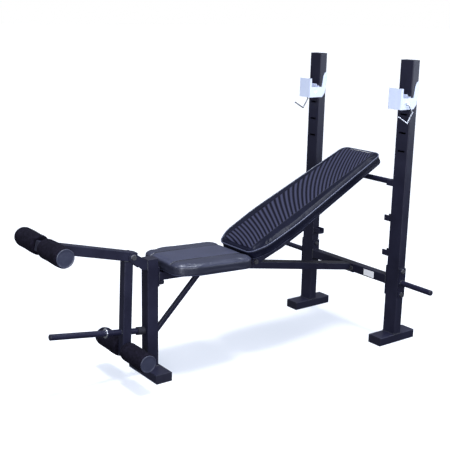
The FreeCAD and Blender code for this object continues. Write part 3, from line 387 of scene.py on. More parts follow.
class Pile:
    """Points and faces of many small solids that end up in one mesh."""

    def __init__(self):
        self.points = []
        self.faces = []

    def loft(self, rings, closed_path=False):
        """Join rings of equal length into a tube, capped unless its path is closed."""
        start = len(self.points)
        count = len(rings[0])
        for ring in rings:
            self.points.extend(ring)
        spans = len(rings) if closed_path else len(rings) - 1
        for i in range(spans):
            a = start + i * count
            b = start + ((i + 1) % len(rings)) * count
            for j in range(count):
                k = (j + 1) % count
                self.faces.append((a + j, a + k, b + k, b + j))
        if not closed_path:
            self.faces.append(tuple(range(start + count - 1, start - 1, -1)))
            last = start + (len(rings) - 1) * count
            self.faces.append(tuple(range(last, last + count)))

    def rod(self, path, radius, sides, closed=False):
        """A tube of a radius, or of one radius for each point, along a path."""
        path = [Vector(p) for p in path]
        count = len(path)
        radii = radius if hasattr(radius, "__len__") else [radius] * count
        rings = []
        before = None
        for i, here in enumerate(path):
            ahead = path[(i + 1) % count] if closed or i + 1 < count else here
            behind = path[i - 1] if closed or i else here
            run = (ahead - behind).normalized()
            if before is None:
                side = run.orthogonal().normalized()
            else:
                side = (before - run * before.dot(run)).normalized()
            before = side
            other = run.cross(side)
            rings.append([here + radii[i] * (math.cos(a) * side + math.sin(a) * other)
                          for a in (2 * math.pi * k / sides for k in range(sides))])
        if closed and count > 2:
            first = (Vector(rings[0][0]) - path[0]).normalized()
            last = (Vector(rings[-1][0]) - path[-1]).normalized()
            if first.dot(last) < TWIST_LIMIT:
                rings.append(rings[0])
                closed = False
        self.loft(rings, closed_path=closed)

    def mesh(self, name):
        return mesh_from(name, self.points, self.faces)


def resample(points, step, closed=True):
    """Even steps along a closed or open line of 2-D or 3-D points."""
    points = np.array(points, float)
    if closed:
        points = np.vstack([points, points[:1]])
    lengths = np.r_[0, np.cumsum(np.linalg.norm(np.diff(points, axis=0), axis=1))]
    count = max(3, int(round(lengths[-1] / step)))
    at = np.linspace(0, lengths[-1], count + 1)
    if closed:
        at = at[:-1]
    return np.stack([np.interp(at, lengths, points[:, k]) for k in range(points.shape[1])], 1)


# ---------------------------------------------------------------- welds and washers


def bead(pile, corners, radius=0.0024, closed=True):
    """A rippled weld bead along a line of points."""
    path = resample(corners, 0.0016, closed)
    radii = [radius * (0.82 + 0.18 * math.sin(1.7 * i) + 0.07 * math.sin(0.23 * i + 1))
             for i in range(len(path))]
    pile.rod(path, radii, 8, closed)


def rectangle_at(low, high, z, grow=0.0):
    return [(low.x - grow, low.y - grow, z), (high.x + grow, low.y - grow, z),
            (high.x + grow, high.y + grow, z), (low.x - grow, high.y + grow, z)]


def ring_points(centre, normal, radius, count=40):
    normal = Vector(normal).normalized()
    side = normal.orthogonal().normalized()
    other = normal.cross(side)
    return [Vector(centre) + radius * (math.cos(a) * side + math.sin(a) * other)
            for a in (2 * math.pi * k / count for k in range(count))]


def cross_section(x, z, half_width, half_height):
    """Corners round a tube's end that stands at a constant x."""
    return [(x, -half_width, z - half_height), (x, half_width, z - half_height),
            (x, half_width, z + half_height), (x, -half_width, z + half_height)]


LIFT = 0.0003  # how far a bead's middle stands off its corner
PEG_PLATE = 0.005
PLATE_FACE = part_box("left_upright")[1].y + PEG_PLATE  # outer face of the storage pegs' plates
BEAM_HALF_WIDTH = 0.025
BEAM_HALF_HEIGHT = 0.017
BEAM_FRONT_Z = 0.430
BEAM_REAR_Z = 0.2935
CROSS_HALF = 0.02
SADDLE_HALF = 0.0170
SADDLE_PITCH = 0.165
BRACE_HALF_WIDTH = 0.010
BRACE_HEIGHT = 0.028


def rack_welds(pile):
    """Beads at the uprights' feet, the cross beam's flanges, the storage pegs and the saddles."""
    for side in ("left", "right"):
        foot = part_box(f"{side}_rack_foot")[1].z
        low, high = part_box(f"{side}_upright")
        bead(pile, rectangle_at(low, high, foot + LIFT, -0.0006))
    low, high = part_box("front_post")
    bead(pile, rectangle_at(low, high, low.z + LIFT))
    low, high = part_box("cross_beam")
    middle = (low.z + high.z) / 2
    for sign in (1, -1):
        y = sign * (high.y - PEG_PLATE - 0.0002)
        bead(pile, [(low.x, y, middle - CROSS_HALF), (high.x, y, middle - CROSS_HALF),
                    (high.x, y, middle + CROSS_HALF), (low.x, y, middle + CROSS_HALF)])
        root = Vector(((low.x + high.x) / 2, sign * (PLATE_FACE + 0.0002), middle))
        bead(pile, ring_points(root, (0, 1, 0), 0.0128), 0.0026)
    for node, sign in (("left_saddles", 1), ("right_saddles", -1)):
        low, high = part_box(node)
        wall = high.y if sign > 0 else low.y
        x = (low.x + high.x) / 2
        for level in range(3):
            z = high.z - 0.011 - SADDLE_PITCH * level
            path = [(x - SADDLE_HALF, z + 0.009), (x - SADDLE_HALF, z + 0.003 - SADDLE_HALF),
                    (x + 0.003 - SADDLE_HALF, z - SADDLE_HALF),
                    (x - 0.003 + SADDLE_HALF, z - SADDLE_HALF),
                    (x + SADDLE_HALF, z + 0.003 - SADDLE_HALF), (x + SADDLE_HALF, z + 0.009)]
            bead(pile, [(px, wall - sign * 0.0004, pz) for px, pz in path], 0.0018, False)


def beam_welds(pile):
    """Beads at the backrest's ears, the lever's bracket, the main beam's ends and the brace."""
    hinge = Vector(JOINTS["backrest_hinge"]["pos_m"])
    for sign in (1, -1):
        centre = hinge + Vector((0, sign * 0.0293, 0))
        bead(pile, ring_points(centre, (0, 1, 0), 0.0143), 0.0020)
        y = sign * 0.0268
        bead(pile, [(hinge.x - 0.030, y, hinge.z - 0.0452),
                    (hinge.x + 0.072, y, hinge.z - 0.0552)], 0.0022, False)
    low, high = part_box("leg_bracket")
    for y in (low.y, high.y):
        edge = (high.x - LIFT, 0.985 * y)
        bead(pile, [(*edge, low.z + 0.001), (*edge, low.z + 0.036)], 0.0020, False)
    front, rear = (corner.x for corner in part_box("main_beam"))
    for x, z in ((front, BEAM_FRONT_Z), (rear, BEAM_REAR_Z)):
        bead(pile, cross_section(x, z, BEAM_HALF_WIDTH, BEAM_HALF_HEIGHT), 0.0022)
    low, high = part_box("brace_strut")
    bead(pile, cross_section(low.x, low.z + BRACE_HEIGHT / 2, BRACE_HALF_WIDTH, BRACE_HEIGHT / 2),
         0.0020)
    near, far = high.x - BRACE_HEIGHT, high.x
    bead(pile, [(near, -BRACE_HALF_WIDTH, high.z), (far, -BRACE_HALF_WIDTH, high.z - 0.001),
                (far, BRACE_HALF_WIDTH, high.z - 0.001), (near, BRACE_HALF_WIDTH, high.z)], 0.0020)


def frame_welds():
    pile = Pile()
    rack_welds(pile)
    beam_welds(pile)
    new_piece("frame_weld_beads", pile.mesh("frame_weld_beads"), "frame", WELD)


UPPER_ARM_RISE = math.radians(14.2)
LOWER_ARM_LEAN = math.radians(2.05)
PEG_TILT = math.radians(8.2)
ARM_HALF = 0.02
PEG_ABOVE_ROLLER = 0.075


def lever_welds():
    """Beads between the two arms, round the roller tubes and round the weight peg's collar."""
    pile = Pile()
    pivot = Vector(JOINTS["leg_lever_hinge"]["pos_m"])
    foot = Vector(JOINTS["lower_left_roller_spin"]["pos_m"])
    tip = Vector(JOINTS["upper_left_roller_spin"]["pos_m"])
    down = Vector((-math.sin(UPPER_ARM_RISE), 0, -math.cos(UPPER_ARM_RISE)))
    lean = Vector((math.sin(LOWER_ARM_LEAN), 0, math.cos(LOWER_ARM_LEAN)))
    across = Vector((math.cos(LOWER_ARM_LEAN), 0, -math.sin(LOWER_ARM_LEAN)))

    def under(x):
        """Where a line up the lower arm, x from its middle, meets the upper arm."""
        start = foot + across * x
        reach = (pivot + down * ARM_HALF - start).dot(down) / lean.dot(down)
        return start + lean * reach

    front = under(-ARM_HALF)
    rear = under(ARM_HALF)
    side = Vector((0, ARM_HALF, 0))
    bead(pile, [front - side, rear - side, rear + side, front + side], 0.0022)
    for centre in (tip, foot):
        for sign in (1, -1):
            root = centre + Vector((0, sign * (ARM_HALF + 0.0002), 0))
            bead(pile, ring_points(root, (0, 1, 0), 0.0172), 0.0016)
    peg = foot + lean * PEG_ABOVE_ROLLER
    run = Vector((-math.cos(PEG_TILT), 0, math.sin(PEG_TILT)))
    for shift, ring, radius in ((-0.0206, 0.0128, 0.0022), (0.0206, 0.0128, 0.0022),
                                (0.0862, 0.0127, 0.0012), (0.0908, 0.0127, 0.0012)):
        bead(pile, ring_points(peg + run * shift, run, ring), radius)
    new_piece("lever_weld_beads", pile.mesh("lever_weld_beads"), "leg_lever", WELD)


def washer(pile, centre, direction, radius, thick=0.0014):
    """A washer with rounded rims that stands on a face."""
    centre = Vector(centre)
    direction = Vector(direction).normalized()
    profile = [(radius - 0.0004, 0.0), (radius, 0.0004), (radius, thick - 0.0004),
               (radius - 0.0004, thick), (radius * 0.55, thick)]
    rings = [[p + direction * height for p in ring_points(centre, direction, r, 36)]
             for r, height in profile]
    pile.loft(rings)


PEG_WASHER_BACK = 0.120  # from the peg mount's middle back to the collar


def peg_washer():
    """A plated washer that stands in front of the weight peg's collar."""
    mount = next(m for m in frame["record"]["mounts"] if m["name"] == "leg_weight_peg")
    axis = Vector(mount["axis"]).normalized()
    pile = Pile()
    washer(pile, Vector(mount["pos_m"]) - axis * PEG_WASHER_BACK, axis, 0.0205, 0.0022)
    new_piece("peg_washer", pile.mesh("peg_washer"), "leg_lever", ROD)


END_PLATE = 0.005
FRONT_BOLT_Z = 0.461
REAR_BOLT_Y = 0.035
REAR_BOLT_Z = 0.290
CROSS_BEAM_REAR = 0.791
UPRIGHT_X = 0.770
FLANGE_BOLT_Z = (0.235, 0.345)
SMALL_WASHER = 0.0105
PIVOT_WASHER = 0.0125


def washers():
    """Washers at the main beam's bolts, the rack's through bolts and the lever's pivot."""
    pile = Pile()
    low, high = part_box("beam_end_plates")
    washer(pile, (low.x + END_PLATE, 0, FRONT_BOLT_Z), (1, 0, 0), SMALL_WASHER)
    for y in (-REAR_BOLT_Y, REAR_BOLT_Y):
        washer(pile, (high.x - END_PLATE, y, REAR_BOLT_Z), (-1, 0, 0), SMALL_WASHER)
        washer(pile, (CROSS_BEAM_REAR, y, REAR_BOLT_Z), (1, 0, 0), SMALL_WASHER)
    for sign in (1, -1):
        for z in FLANGE_BOLT_Z:
            washer(pile, (UPRIGHT_X, sign * PLATE_FACE, z), (0, sign, 0), SMALL_WASHER)
    pivot = Vector(JOINTS["leg_lever_hinge"]["pos_m"])
    for sign in (1, -1):
        washer(pile, pivot + Vector((0, sign * 0.0255, 0)), (0, sign, 0), PIVOT_WASHER)
    new_piece("frame_washers", pile.mesh("frame_washers"), "frame", ZINC)


# ---------------------------------------------------------------- cushions

# Each cushion is shaped in its own frame: x along it, z out of its top.
BACK_TILT = math.radians(26)
BACK_SPOT = (Matrix.Translation(JOINTS["backrest_hinge"]["pos_m"])
             @ Matrix.Rotation(-BACK_TILT, 4, "Y"))
SEAT_SLOPE = math.atan2(0.018, 0.417)
SEAT_SPOT = Matrix.Translation((-0.335, 0, 0.4550)) @ Matrix.Rotation(SEAT_SLOPE, 4, "Y")
BOARD_DEPTH = 0.012
COVER_GAP = 0.0006
CLOTH_FRAMES = 20


def hull(points):
    """Convex outline of 2-D points, anticlockwise."""
    points = sorted(set(map(tuple, np.round(points, 6))))

    def half(run):
        line = []
        for p in run:
            while len(line) > 1 and ((line[-1][0] - line[-2][0]) * (p[1] - line[-2][1])
                                     - (line[-1][1] - line[-2][1]) * (p[0] - line[-2][0])) <= 0:
                line.pop()
            line.append(p)
        return line[:-1]

    return half(points) + half(points[::-1])


def local_points(node, spot):
    """A node's vertices in the local frame spot."""
    back = np.array(spot.inverted())
    points = np.array([v.co for v in NODES[node].data.vertices])
    return points @ back[:3, :3].T + back[:3, 3]


def outline_of(node, spot):
    """A node's outline from above, and its lowest and highest level."""
    points = local_points(node, spot)
    return resample(hull(points[:, :2]), 0.004), points[:, 2].min(), points[:, 2].max()


def inset(line, distance):
    """Move each point of a closed anticlockwise outline inwards."""
    ahead = np.roll(line, -1, 0) - np.roll(line, 1, 0)
    ahead /= np.linalg.norm(ahead, axis=1)[:, None]
    return line + distance * np.stack([-ahead[:, 1], ahead[:, 0]], 1)


def blank_cushion(name, node, spot, floor_z, voxel):
    """The node's solid in its own frame, its base lowered round the board, evenly remeshed."""
    mesh = NODES[node].data.copy()
    mesh.transform(spot.inverted())
    base = min(v.co.z for v in mesh.vertices)
    for v in mesh.vertices:
        if v.co.z < base + 0.0005:
            v.co.z = floor_z
    piece = bpy.data.objects.new(name, mesh)
    bpy.context.scene.collection.objects.link(piece)
    remesh = piece.modifiers.new("Remesh", "REMESH")
    remesh.mode = "VOXEL"
    remesh.voxel_size = voxel
    smooth = piece.modifiers.new("Smooth", "SMOOTH")
    smooth.factor = 0.5
    smooth.iterations = 4
    return bake(piece)


def bake(piece):
    """Replace a piece's mesh with what its modifiers make of it."""
    bpy.context.view_layer.update()
    graph = bpy.context.evaluated_depsgraph_get()
    mesh = bpy.data.meshes.new_from_object(piece.evaluated_get(graph))
    piece.modifiers.clear()
    piece.data = mesh
    return piece


def coordinates(mesh):
    flat = np.empty(len(mesh.vertices) * 3)
    mesh.vertices.foreach_get("co", flat)
    return flat.reshape(-1, 3)


def set_coordinates(mesh, points):
    mesh.vertices.foreach_set("co", np.asarray(points, float).ravel())
    mesh.update()


def inflate(piece, floor_z, rise, spread):
    """Cloth under pressure over a pinned base; a point rises and spreads by limited amounts."""
    rest = coordinates(piece.data)
    group = piece.vertex_groups.new(name="pinned")
    group.add([int(i) for i in np.nonzero(rest[:, 2] < floor_z + 0.006)[0]], 1.0, "REPLACE")
    cloth = piece.modifiers.new("Cloth", "CLOTH")
    settings = cloth.settings
    settings.quality = 4
    settings.mass = 0.25
    settings.tension_stiffness = 18
    settings.compression_stiffness = 18
    settings.shear_stiffness = 8
    settings.bending_stiffness = 0.6
    settings.use_pressure = True
    settings.uniform_pressure_force = 4
    settings.vertex_group_mass = "pinned"
    settings.effector_weights.gravity = 0
    cloth.point_cache.frame_start = 1
    cloth.point_cache.frame_end = CLOTH_FRAMES
    scene = bpy.context.scene
    for number in range(1, CLOTH_FRAMES + 1):
        scene.frame_set(number)
    graph = bpy.context.evaluated_depsgraph_get()
    swollen = bpy.data.meshes.new_from_object(piece.evaluated_get(graph))
    moved = coordinates(swollen) - rest
    piece.modifiers.clear()
    scene.frame_set(1)
    moved[:, 2] = rise * np.tanh(moved[:, 2] / rise)
    flat = np.linalg.norm(moved[:, :2], axis=1)
    moved[:, :2] *= (spread * np.tanh(flat / spread) / np.maximum(flat, 1e-9))[:, None]
    set_coordinates(piece.data, rest + moved)


def crown(points, line, top, amount):
    """A shallow dome on the top face, flat along the edge."""
    reach = edge_distance(points[:, :2], line)
    share = np.clip(reach / 0.09, 0, 1)
    lift = amount * (1 - (1 - share) ** 2)
    on_top = np.clip((points[:, 2] - (top - 0.016)) / 0.012, 0, 1)
    points[:, 2] += lift * on_top
    return reach


def edge_distance(points, line):
    """Distance of 2-D points to a closed outline."""
    best = np.full(len(points), 1e9)
    ends = np.roll(line, -1, 0)
    for a, b in zip(line, ends):
        run = b - a
        share = np.clip(((points - a) @ run) / (run @ run), 0, 1)
        gap = points - (a + share[:, None] * run)
        best = np.minimum(best, np.einsum("ij,ij->i", gap, gap))
    return np.sqrt(best)


def subdivide(piece):
    modifier = piece.modifiers.new("Subdivision", "SUBSURF")
    modifier.levels = 1
    modifier.render_levels = 1
    return bake(piece)


def raw_cushion(name, node, spot, voxel, rise, spread):
    """A remeshed, inflated and refined cushion, with its outline and its base and top levels."""
    line, low, top = outline_of(node, spot)
    floor_z = low - BOARD_DEPTH + COVER_GAP
    piece = blank_cushion(name, node, spot, floor_z, voxel)
    inflate(piece, floor_z, rise, spread)
    return subdivide(piece), line, floor_z, top


def finished_cushion(raw, node, body, material, spot):
    """The shaped cushion's mesh as a padded piece that stands for a CAD pad."""
    name, mesh = raw.name, raw.data
    bpy.data.objects.remove(raw)
    piece = new_piece(name, mesh, body, material, spot)
    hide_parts(node)


def groove(distance, width):
    """1 along a line, fading to 0 over a width on both sides."""
    return np.exp(-(distance / width) ** 2)


def float_attribute(mesh, name, values):
    layer = mesh.attributes.new(name, "FLOAT", "POINT")
    layer.data.foreach_set("value", np.asarray(values, np.float32))


# The ribbed panel, in millimetres along (u) and across (v) the backrest.
PANEL_HALF = 98.0
PANEL_LOW = -2
PANEL_HIGH = 803
RIB_SKEW = 44
RIB_BOW = 8
RIB_REACH = 800
RIBS_PER_LOG = 46.5
RIB_START = 0.17


def rib_phase(u, v):
    """Counts the pressed ribs: they start almost square to the pad and slant more and more."""
    share = (v + 60) / 120
    bow = RIB_BOW * (1 - (v / PANEL_HALF) ** 2) * (1 - u / 330)
    start = (u - RIB_SKEW * share - bow) / (1 + share * (0.05 + 0.00033 * u))
    return RIBS_PER_LOG * np.log1p(np.maximum(start, -60) / RIB_REACH) - RIB_START


def back_cushion():
    """The backrest's cushion: a ribbed panel in a pressed border, and a belt round its side."""
    piece, line, floor_z, top = raw_cushion("back_cushion", "back_pad", BACK_SPOT,
                                            0.0048, 0.004, 0.0025)
    points = coordinates(piece.data)
    reach = crown(points, line, top, 0.0035)
    u = points[:, 0] * 1000
    v = points[:, 1] * 1000
    edge = np.minimum(PANEL_HALF - np.abs(v), np.minimum(u - PANEL_LOW, PANEL_HIGH - u))
    on_top = np.clip((points[:, 2] - (top - 0.004)) / 0.003, 0, 1)
    depth = np.where(on_top > 0, edge, -5) * MM
    phase = rib_phase(u, v)
    wave = np.abs(np.sin(np.pi * phase)) ** 0.6
    inside = np.clip(edge / 4, 0, 1) * on_top
    points[:, 2] += inside * (0.0014 * wave - 0.0009)
    points[:, 2] -= 0.0016 * groove(edge + 2.5, 2.6) * on_top
    side = (points[:, 2] < top - 0.003) & (points[:, 2] > floor_z)
    belt = groove((points[:, 2] - (top - 0.0105)) * 1000, 2.0)
    pull = 0.0016 * belt * (reach < 0.012) * side
    centre = np.array([np.clip(points[:, 0], 0.1, 0.7), np.zeros(len(points))]).T
    inward = centre - points[:, :2]
    inward /= np.maximum(np.linalg.norm(inward, axis=1), 1e-6)[:, None]
    points[:, :2] += inward * pull[:, None]
    set_coordinates(piece.data, points)
    float_attribute(piece.data, "rib_phase", phase)
    float_attribute(piece.data, "panel_depth", depth)
    finished_cushion(piece, "back_pad", "backrest", BACK_VINYL, BACK_SPOT)
    back_piping(line, top - 0.0065)
    wrap("back_wrap", line, floor_z - COVER_GAP, "backrest", BACK_SPOT)


def seat_seam(u, side):
    """The two seams run lengthwise, a little further apart at the rear."""
    return side * (76 + 0.016 * u)


def seat_cushion():
    """The seat's cushion: two sewn seams, with painted shade in the seams and on the sides, and
    darker wings outside the seams.
    """
    piece, line, floor_z, top = raw_cushion("seat_cushion", "seat_pad", SEAT_SPOT,
                                            0.0045, 0.0025, 0.0006)
    points = coordinates(piece.data)
    crown(points, line, top, 0.003)
    u = points[:, 0] * 1000
    v = points[:, 1] * 1000
    on_top = np.clip((points[:, 2] - (top - 0.012)) / 0.008, 0, 1)
    for side in (1, -1):
        gap = v - seat_seam(u, side)
        points[:, 2] -= (0.0030 * groove(gap, 3.2) + 0.0016 * groove(gap, 14)) * on_top
    set_coordinates(piece.data, points)
    # Painted shade in the seam grooves and on the sides below the top, plus darker wings outside
    # the seams, carried to the shader as one attribute.
    nearest = np.minimum(abs(v - seat_seam(u, 1)), abs(v - seat_seam(u, -1)))
    wing = np.clip((abs(v) - seat_seam(u, 1)) / 6, 0, 1) * on_top
    shade = np.maximum(groove(nearest, 4.6) * on_top, 0.34 * wing)
    float_attribute(piece.data, "painted_seam_and_side_shade", np.maximum(shade, 0.68 * (1 - on_top)))
    finished_cushion(piece, "seat_pad", "frame", SEAT_VINYL_PAINTED_SHEEN, SEAT_SPOT)
    stitches(points, top)
    wrap("seat_wrap", line, floor_z - COVER_GAP, "frame", SEAT_SPOT)


STITCH = 4.6  # millimetres, like the next two
STITCH_PITCH = 7.0
STITCH_FROM_SEAM = 3.6
CELL = 0.005


def stitches(surface, top):
    """Rows of thread beside both seams, lying on the cushion's surface."""
    pile = Pile()
    cells = {}
    for x, y, z in surface:
        if z > top - 0.014:
            key = (int(x // CELL), int(y // CELL))
            cells[key] = max(cells.get(key, -1), z)
    for side in (1, -1):
        for offset in (-STITCH_FROM_SEAM, STITCH_FROM_SEAM):
            for u in np.arange(14, 368, STITCH_PITCH):
                ends = []
                for along in (u, u + STITCH):
                    p = Vector((along * MM, (seat_seam(along, side) + offset) * MM, 0))
                    z = cells.get((int(p.x // CELL), int(p.y // CELL)))
                    if z is not None:
                        ends.append(Vector((p.x, p.y, z)))
                if len(ends) == 2 and abs(ends[0].z - ends[1].z) < 0.002:
                    middle = (ends[0] + ends[1]) / 2 + Vector((0, 0, 0.0003))
                    low = Vector((0, 0, 0.0006))
                    pile.rod([ends[0] - low, middle, ends[1] - low], [0.0004, 0.0006, 0.0004], 6)
    new_piece("seat_stitches", pile.mesh("seat_stitches"), "frame", THREAD,
              SEAT_SPOT)


def back_piping(line, height):
    """A welt of covered cord round the backrest's upper edge."""
    path = [(x, y, height) for x, y in resample(inset(line, 0.0016), 0.004)]
    pile = Pile()
    pile.rod(path, 0.0030, 12, True)
    new_piece("back_piping", pile.mesh("back_piping"), "backrest", PIPING_PAINTED_HIGHLIGHT, BACK_SPOT)


def wrap(name, line, board_low, body, spot):
    """The cover's edge folded under the board, with gathers at the corners, and staples."""
    count = len(line)
    profile = [(0.0015, 0.004), (0.0012, 0.0012), (0.0022, -0.0006), (0.006, -0.0014),
               (0.020, -0.0013), (0.033, -0.0012), (0.034, -0.0002)]
    turn = np.roll(line, -3, 0) - 2 * line + np.roll(line, 3, 0)
    bend = np.clip(np.linalg.norm(turn, axis=1) / 0.0022, 0, 1)
    lines = [inset(line, distance) for distance, _ in profile]
    pile = Pile()
    for i in range(count):
        for k, (distance, rise) in enumerate(profile):
            ripple = 0.0007 * bend[i] * (1 + math.sin(2.6 * i)) * (0.01 < distance)
            pile.points.append((*lines[k][i], board_low + rise - ripple))
    size = len(profile)
    for i in range(count):
        a = i * size
        b = ((i + 1) % count) * size
        for k in range(size - 1):
            pile.faces.append((a + k, a + k + 1, b + k + 1, b + k))
    new_piece(name, pile.mesh(name), body, SEAT_VINYL_PAINTED_SHEEN, spot)
    staples(f"{name}_staples", line, board_low, body, spot)


def staples(name, line, board_low, body, spot):
    """A row of staples that holds the folded cover to the board."""
    row = resample(inset(line, 0.027), 0.026)
    ahead = np.roll(row, -1, 0) - row
    up = Vector((0, 0, 0.0014))
    pile = Pile()
    for (x, y), (dx, dy) in zip(row, ahead):
        run = Vector((dx, dy, 0)).normalized() * 0.0055
        middle = Vector((x, y, board_low - 0.0016))
        pile.rod([middle - run + up, middle - run, middle + run, middle + run + up], 0.0005, 6)
    new_piece(name, pile.mesh(name), body, STAPLE, spot)


# ---------------------------------------------------------------- foam rollers


FOAM_BORE = 0.01262
FOAM_ROUND = 0.008
FOAM_SIDES = 72


def foam_profile(radius, length):
    """Radii and heights from the bore over one end, the skin and the other end."""
    end = []
    for t in np.linspace(0, 1, 5):
        end.append((FOAM_BORE + 0.004 + t * (radius - FOAM_BORE - 0.012),
                    0.0006 + 0.0012 * (1 - t)))
    for a in np.linspace(math.pi / 2, 0, 6)[1:]:
        end.append((radius - FOAM_ROUND + FOAM_ROUND * math.cos(a),
                    FOAM_ROUND - FOAM_ROUND * math.sin(a) + 0.0004))
    skin = [(radius, t * length) for t in np.linspace(0.1, 0.9, 22)]
    other = [(r, length - h) for r, h in reversed(end)]
    return [(FOAM_BORE, 0.002)] + end + skin + other + [(FOAM_BORE, length - 0.002)]


def foam_roller(node, body, joint):
    """A foam sleeve with softly rounded, slightly hollowed ends and a barely uneven skin."""
    low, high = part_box(node)
    centre = Vector(JOINTS[joint]["pos_m"])
    rings = []
    for r, h in foam_profile((high.x - low.x) / 2, high.y - low.y):
        ring = []
        for k in range(FOAM_SIDES):
            a = 2 * math.pi * k / FOAM_SIDES
            dent = (0.0005 * math.sin(3 * a + 40 * h)
                    + 0.0004 * math.sin(5 * a - 63 * h + low.y * 90))
            grow = r + (dent - 0.0006 if r > 0.03 else 0)
            ring.append((centre.x + grow * math.cos(a), low.y + h, centre.z + grow * math.sin(a)))
        rings.append(ring)
    pile = Pile()
    pile.loft(rings, closed_path=True)
    name = node.replace("_foam", "_foam_sleeve")
    piece = new_piece(name, pile.mesh(name), body, FOAM)
    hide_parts(node)


def foam_rollers():
    """The four foam sleeves, each riding on its own spin joint."""
    for level in ("upper", "lower"):
        for side in ("left", "right"):
            foam_roller(f"{level}_{side}_foam", f"{level}_{side}_roller",
                        f"{level}_{side}_roller_spin")


DISC_BASE = 0.1843
DISC_SIDES = 64
DISC_PROFILE = [(0.0100, -0.010), (0.0100, 0.0), (0.0330, 0.0), (0.0352, 0.0006),
                (0.0358, 0.0020), (0.0356, 0.0034), (0.0345, 0.0046), (0.0330, 0.0050),
                (0.0318, 0.0046), (0.0308, 0.0038), (0.0290, 0.0036), (0.0200, 0.0042),
                (0.0100, 0.0045), (0.0030, 0.0046), (0.0005, 0.0046)]


def roller_discs():
    """End caps turned as shallow dishes with a raised, rounded rim."""
    pile = Pile()
    for joint in ("upper_left_roller_spin", "lower_left_roller_spin"):
        centre = Vector(JOINTS[joint]["pos_m"])
        for sign in (1, -1):
            rings = []
            for r, h in DISC_PROFILE:
                y = sign * DISC_BASE + sign * h
                ring = [(centre.x + r * math.cos(a), y, centre.z + r * math.sin(a))
                        for a in (2 * math.pi * k / DISC_SIDES for k in range(DISC_SIDES))]
                rings.append(ring if sign < 0 else ring[::-1])
            pile.loft(rings)
    piece = new_piece("roller_end_discs", pile.mesh("roller_end_discs"), "leg_lever",
                      DISC)
    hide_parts("roller_caps")


# ---------------------------------------------------------------- stage, lights and camera


def stage():
    """A pale, faintly glowing studio floor, so that it stays white out to its edge."""
    shader = Shader("pale_floor", Roughness=0.9, Specular_IOR_Level=0.0,
                    Emission_Color=(0.72, 0.82, 1.0, 1), Emission_Strength=0.62)
    shader.color(shader.mix(shader.noise(0.7, 2), (0.475, 0.445, 0.410), (0.485, 0.455, 0.420)))
    reach = 60
    mesh = mesh_from("floor", [(-reach, -reach, 0), (reach, -reach, 0), (reach, reach, 0),
                               (-reach, reach, 0)], [(0, 1, 2, 3)])
    mesh.materials.append(shader.material)
    floor = bpy.data.objects.new("floor", mesh)
    bpy.context.scene.collection.objects.link(floor)
    floor.visible_diffuse = False
    floor.visible_glossy = False


def world():
    """White behind the bench; for lighting, a soft sky that is brightest overhead."""
    made = bpy.data.worlds.new("studio")
    bpy.context.scene.world = made
    made.use_nodes = True
    tree = made.node_tree
    tree.nodes.clear()

    def add(kind, **inputs):
        node = tree.nodes.new(kind)
        for socket, value in inputs.items():
            node.inputs[socket.replace("_", " ")].default_value = value
        return node

    where = add("ShaderNodeTexCoord")
    split = add("ShaderNodeSeparateXYZ")
    ramp = add("ShaderNodeMapRange", From_Min=-0.4, From_Max=1.0, To_Min=0.10, To_Max=0.50)
    light = add("ShaderNodeBackground", Color=(0.86, 0.90, 1.0, 1))
    seen = add("ShaderNodeBackground", Color=(1, 1, 1, 1), Strength=1.0)
    path = add("ShaderNodeLightPath")
    mix = add("ShaderNodeMixShader")
    out = add("ShaderNodeOutputWorld")
    tree.links.new(where.outputs["Generated"], split.inputs[0])
    tree.links.new(split.outputs["Z"], ramp.inputs["Value"])
    tree.links.new(ramp.outputs["Result"], light.inputs["Strength"])
    tree.links.new(path.outputs["Is Camera Ray"], mix.inputs[0])
    tree.links.new(light.outputs[0], mix.inputs[1])
    tree.links.new(seen.outputs[0], mix.inputs[2])
    tree.links.new(mix.outputs[0], out.inputs["Surface"])


def softbox(name, at, target, wide, tall, power, color):
    """A rectangular lamp that faces a target."""
    light = bpy.data.lights.new(name, "AREA")
    light.shape = "RECTANGLE"
    light.size = wide
    light.size_y = tall
    light.energy = power
    light.color = color
    lamp = bpy.data.objects.new(name, light)
    bpy.context.scene.collection.objects.link(lamp)
    lamp.location = at
    lamp.rotation_euler = (Vector(target) - Vector(at)).to_track_quat("-Z", "Y").to_euler()


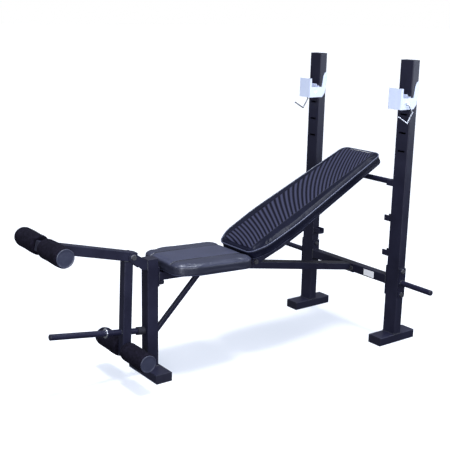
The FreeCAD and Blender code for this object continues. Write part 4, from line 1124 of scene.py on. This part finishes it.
def lights():
    """A high soft key like a studio ceiling, with softboxes on the sides that the camera sees."""
    sun = bpy.data.lights.new("ceiling", "SUN")
    sun.energy = 3.6
    sun.angle = math.radians(13)
    sun.color = (0.86, 0.91, 1.0)
    lamp = bpy.data.objects.new("ceiling", sun)
    bpy.context.scene.collection.objects.link(lamp)
    lamp.rotation_euler = (math.radians(7), 0, 0)
    softbox("overhead", (0.3, -0.4, 3.1), (0.1, 0, 0.3), 2.4, 0.9, 40, (0.78, 0.86, 1.0))
    softbox("right_side", (2.5, -1.85, 1.35), (0.75, -0.3, 1.0), 1.3, 1.0, 32, (0.78, 0.85, 1.0))
    softbox("foot_end", (-3.4, 0.2, 1.7), (0.2, 0, 0.6), 1.8, 1.8, 50, (0.84, 0.89, 1.0))
    softbox("foot_low", (-1.6, -1.9, 0.7), (-0.45, 0, 0.4), 0.9, 0.9, 34, (0.82, 0.87, 1.0))
    softbox("front_fill", (-1.0, -3.7, 1.7), (0, 0, 0.4), 2.0, 1.6, 96, (0.84, 0.88, 1.0))


CAMERA_AT = (-2.12795, -2.88313, 1.50246)
CAMERA_AZIMUTH = math.radians(-36.43)
CAMERA_HEIGHT = math.radians(14.182)
CAMERA_ROLL = math.radians(1.107)


def camera():
    """The solved camera, from its place, heading, downward tilt and roll."""
    data = bpy.data.cameras.new("view")
    data.lens = 68.6
    data.sensor_width = 36
    made = bpy.data.objects.new("view", data)
    bpy.context.scene.collection.objects.link(made)
    right = Vector((math.cos(CAMERA_AZIMUTH), math.sin(CAMERA_AZIMUTH), 0))
    back = Vector((math.sin(CAMERA_AZIMUTH) * math.cos(CAMERA_HEIGHT),
                   -math.cos(CAMERA_AZIMUTH) * math.cos(CAMERA_HEIGHT), math.sin(CAMERA_HEIGHT)))
    up = back.cross(right)
    level = math.cos(CAMERA_ROLL) * right + math.sin(CAMERA_ROLL) * up
    upright = -math.sin(CAMERA_ROLL) * right + math.cos(CAMERA_ROLL) * up
    turn = Matrix((level, upright, back)).transposed().to_4x4()
    made.matrix_world = Matrix.Translation(CAMERA_AT) @ turn
    bpy.context.scene.camera = made
    bpy.context.scene.view_settings.view_transform = "Standard"


dress_nodes()
frame_welds()
lever_welds()
washers()
peg_washer()
back_cushion()
seat_cushion()
foam_rollers()
roller_discs()
stage()
world()
lights()
camera()
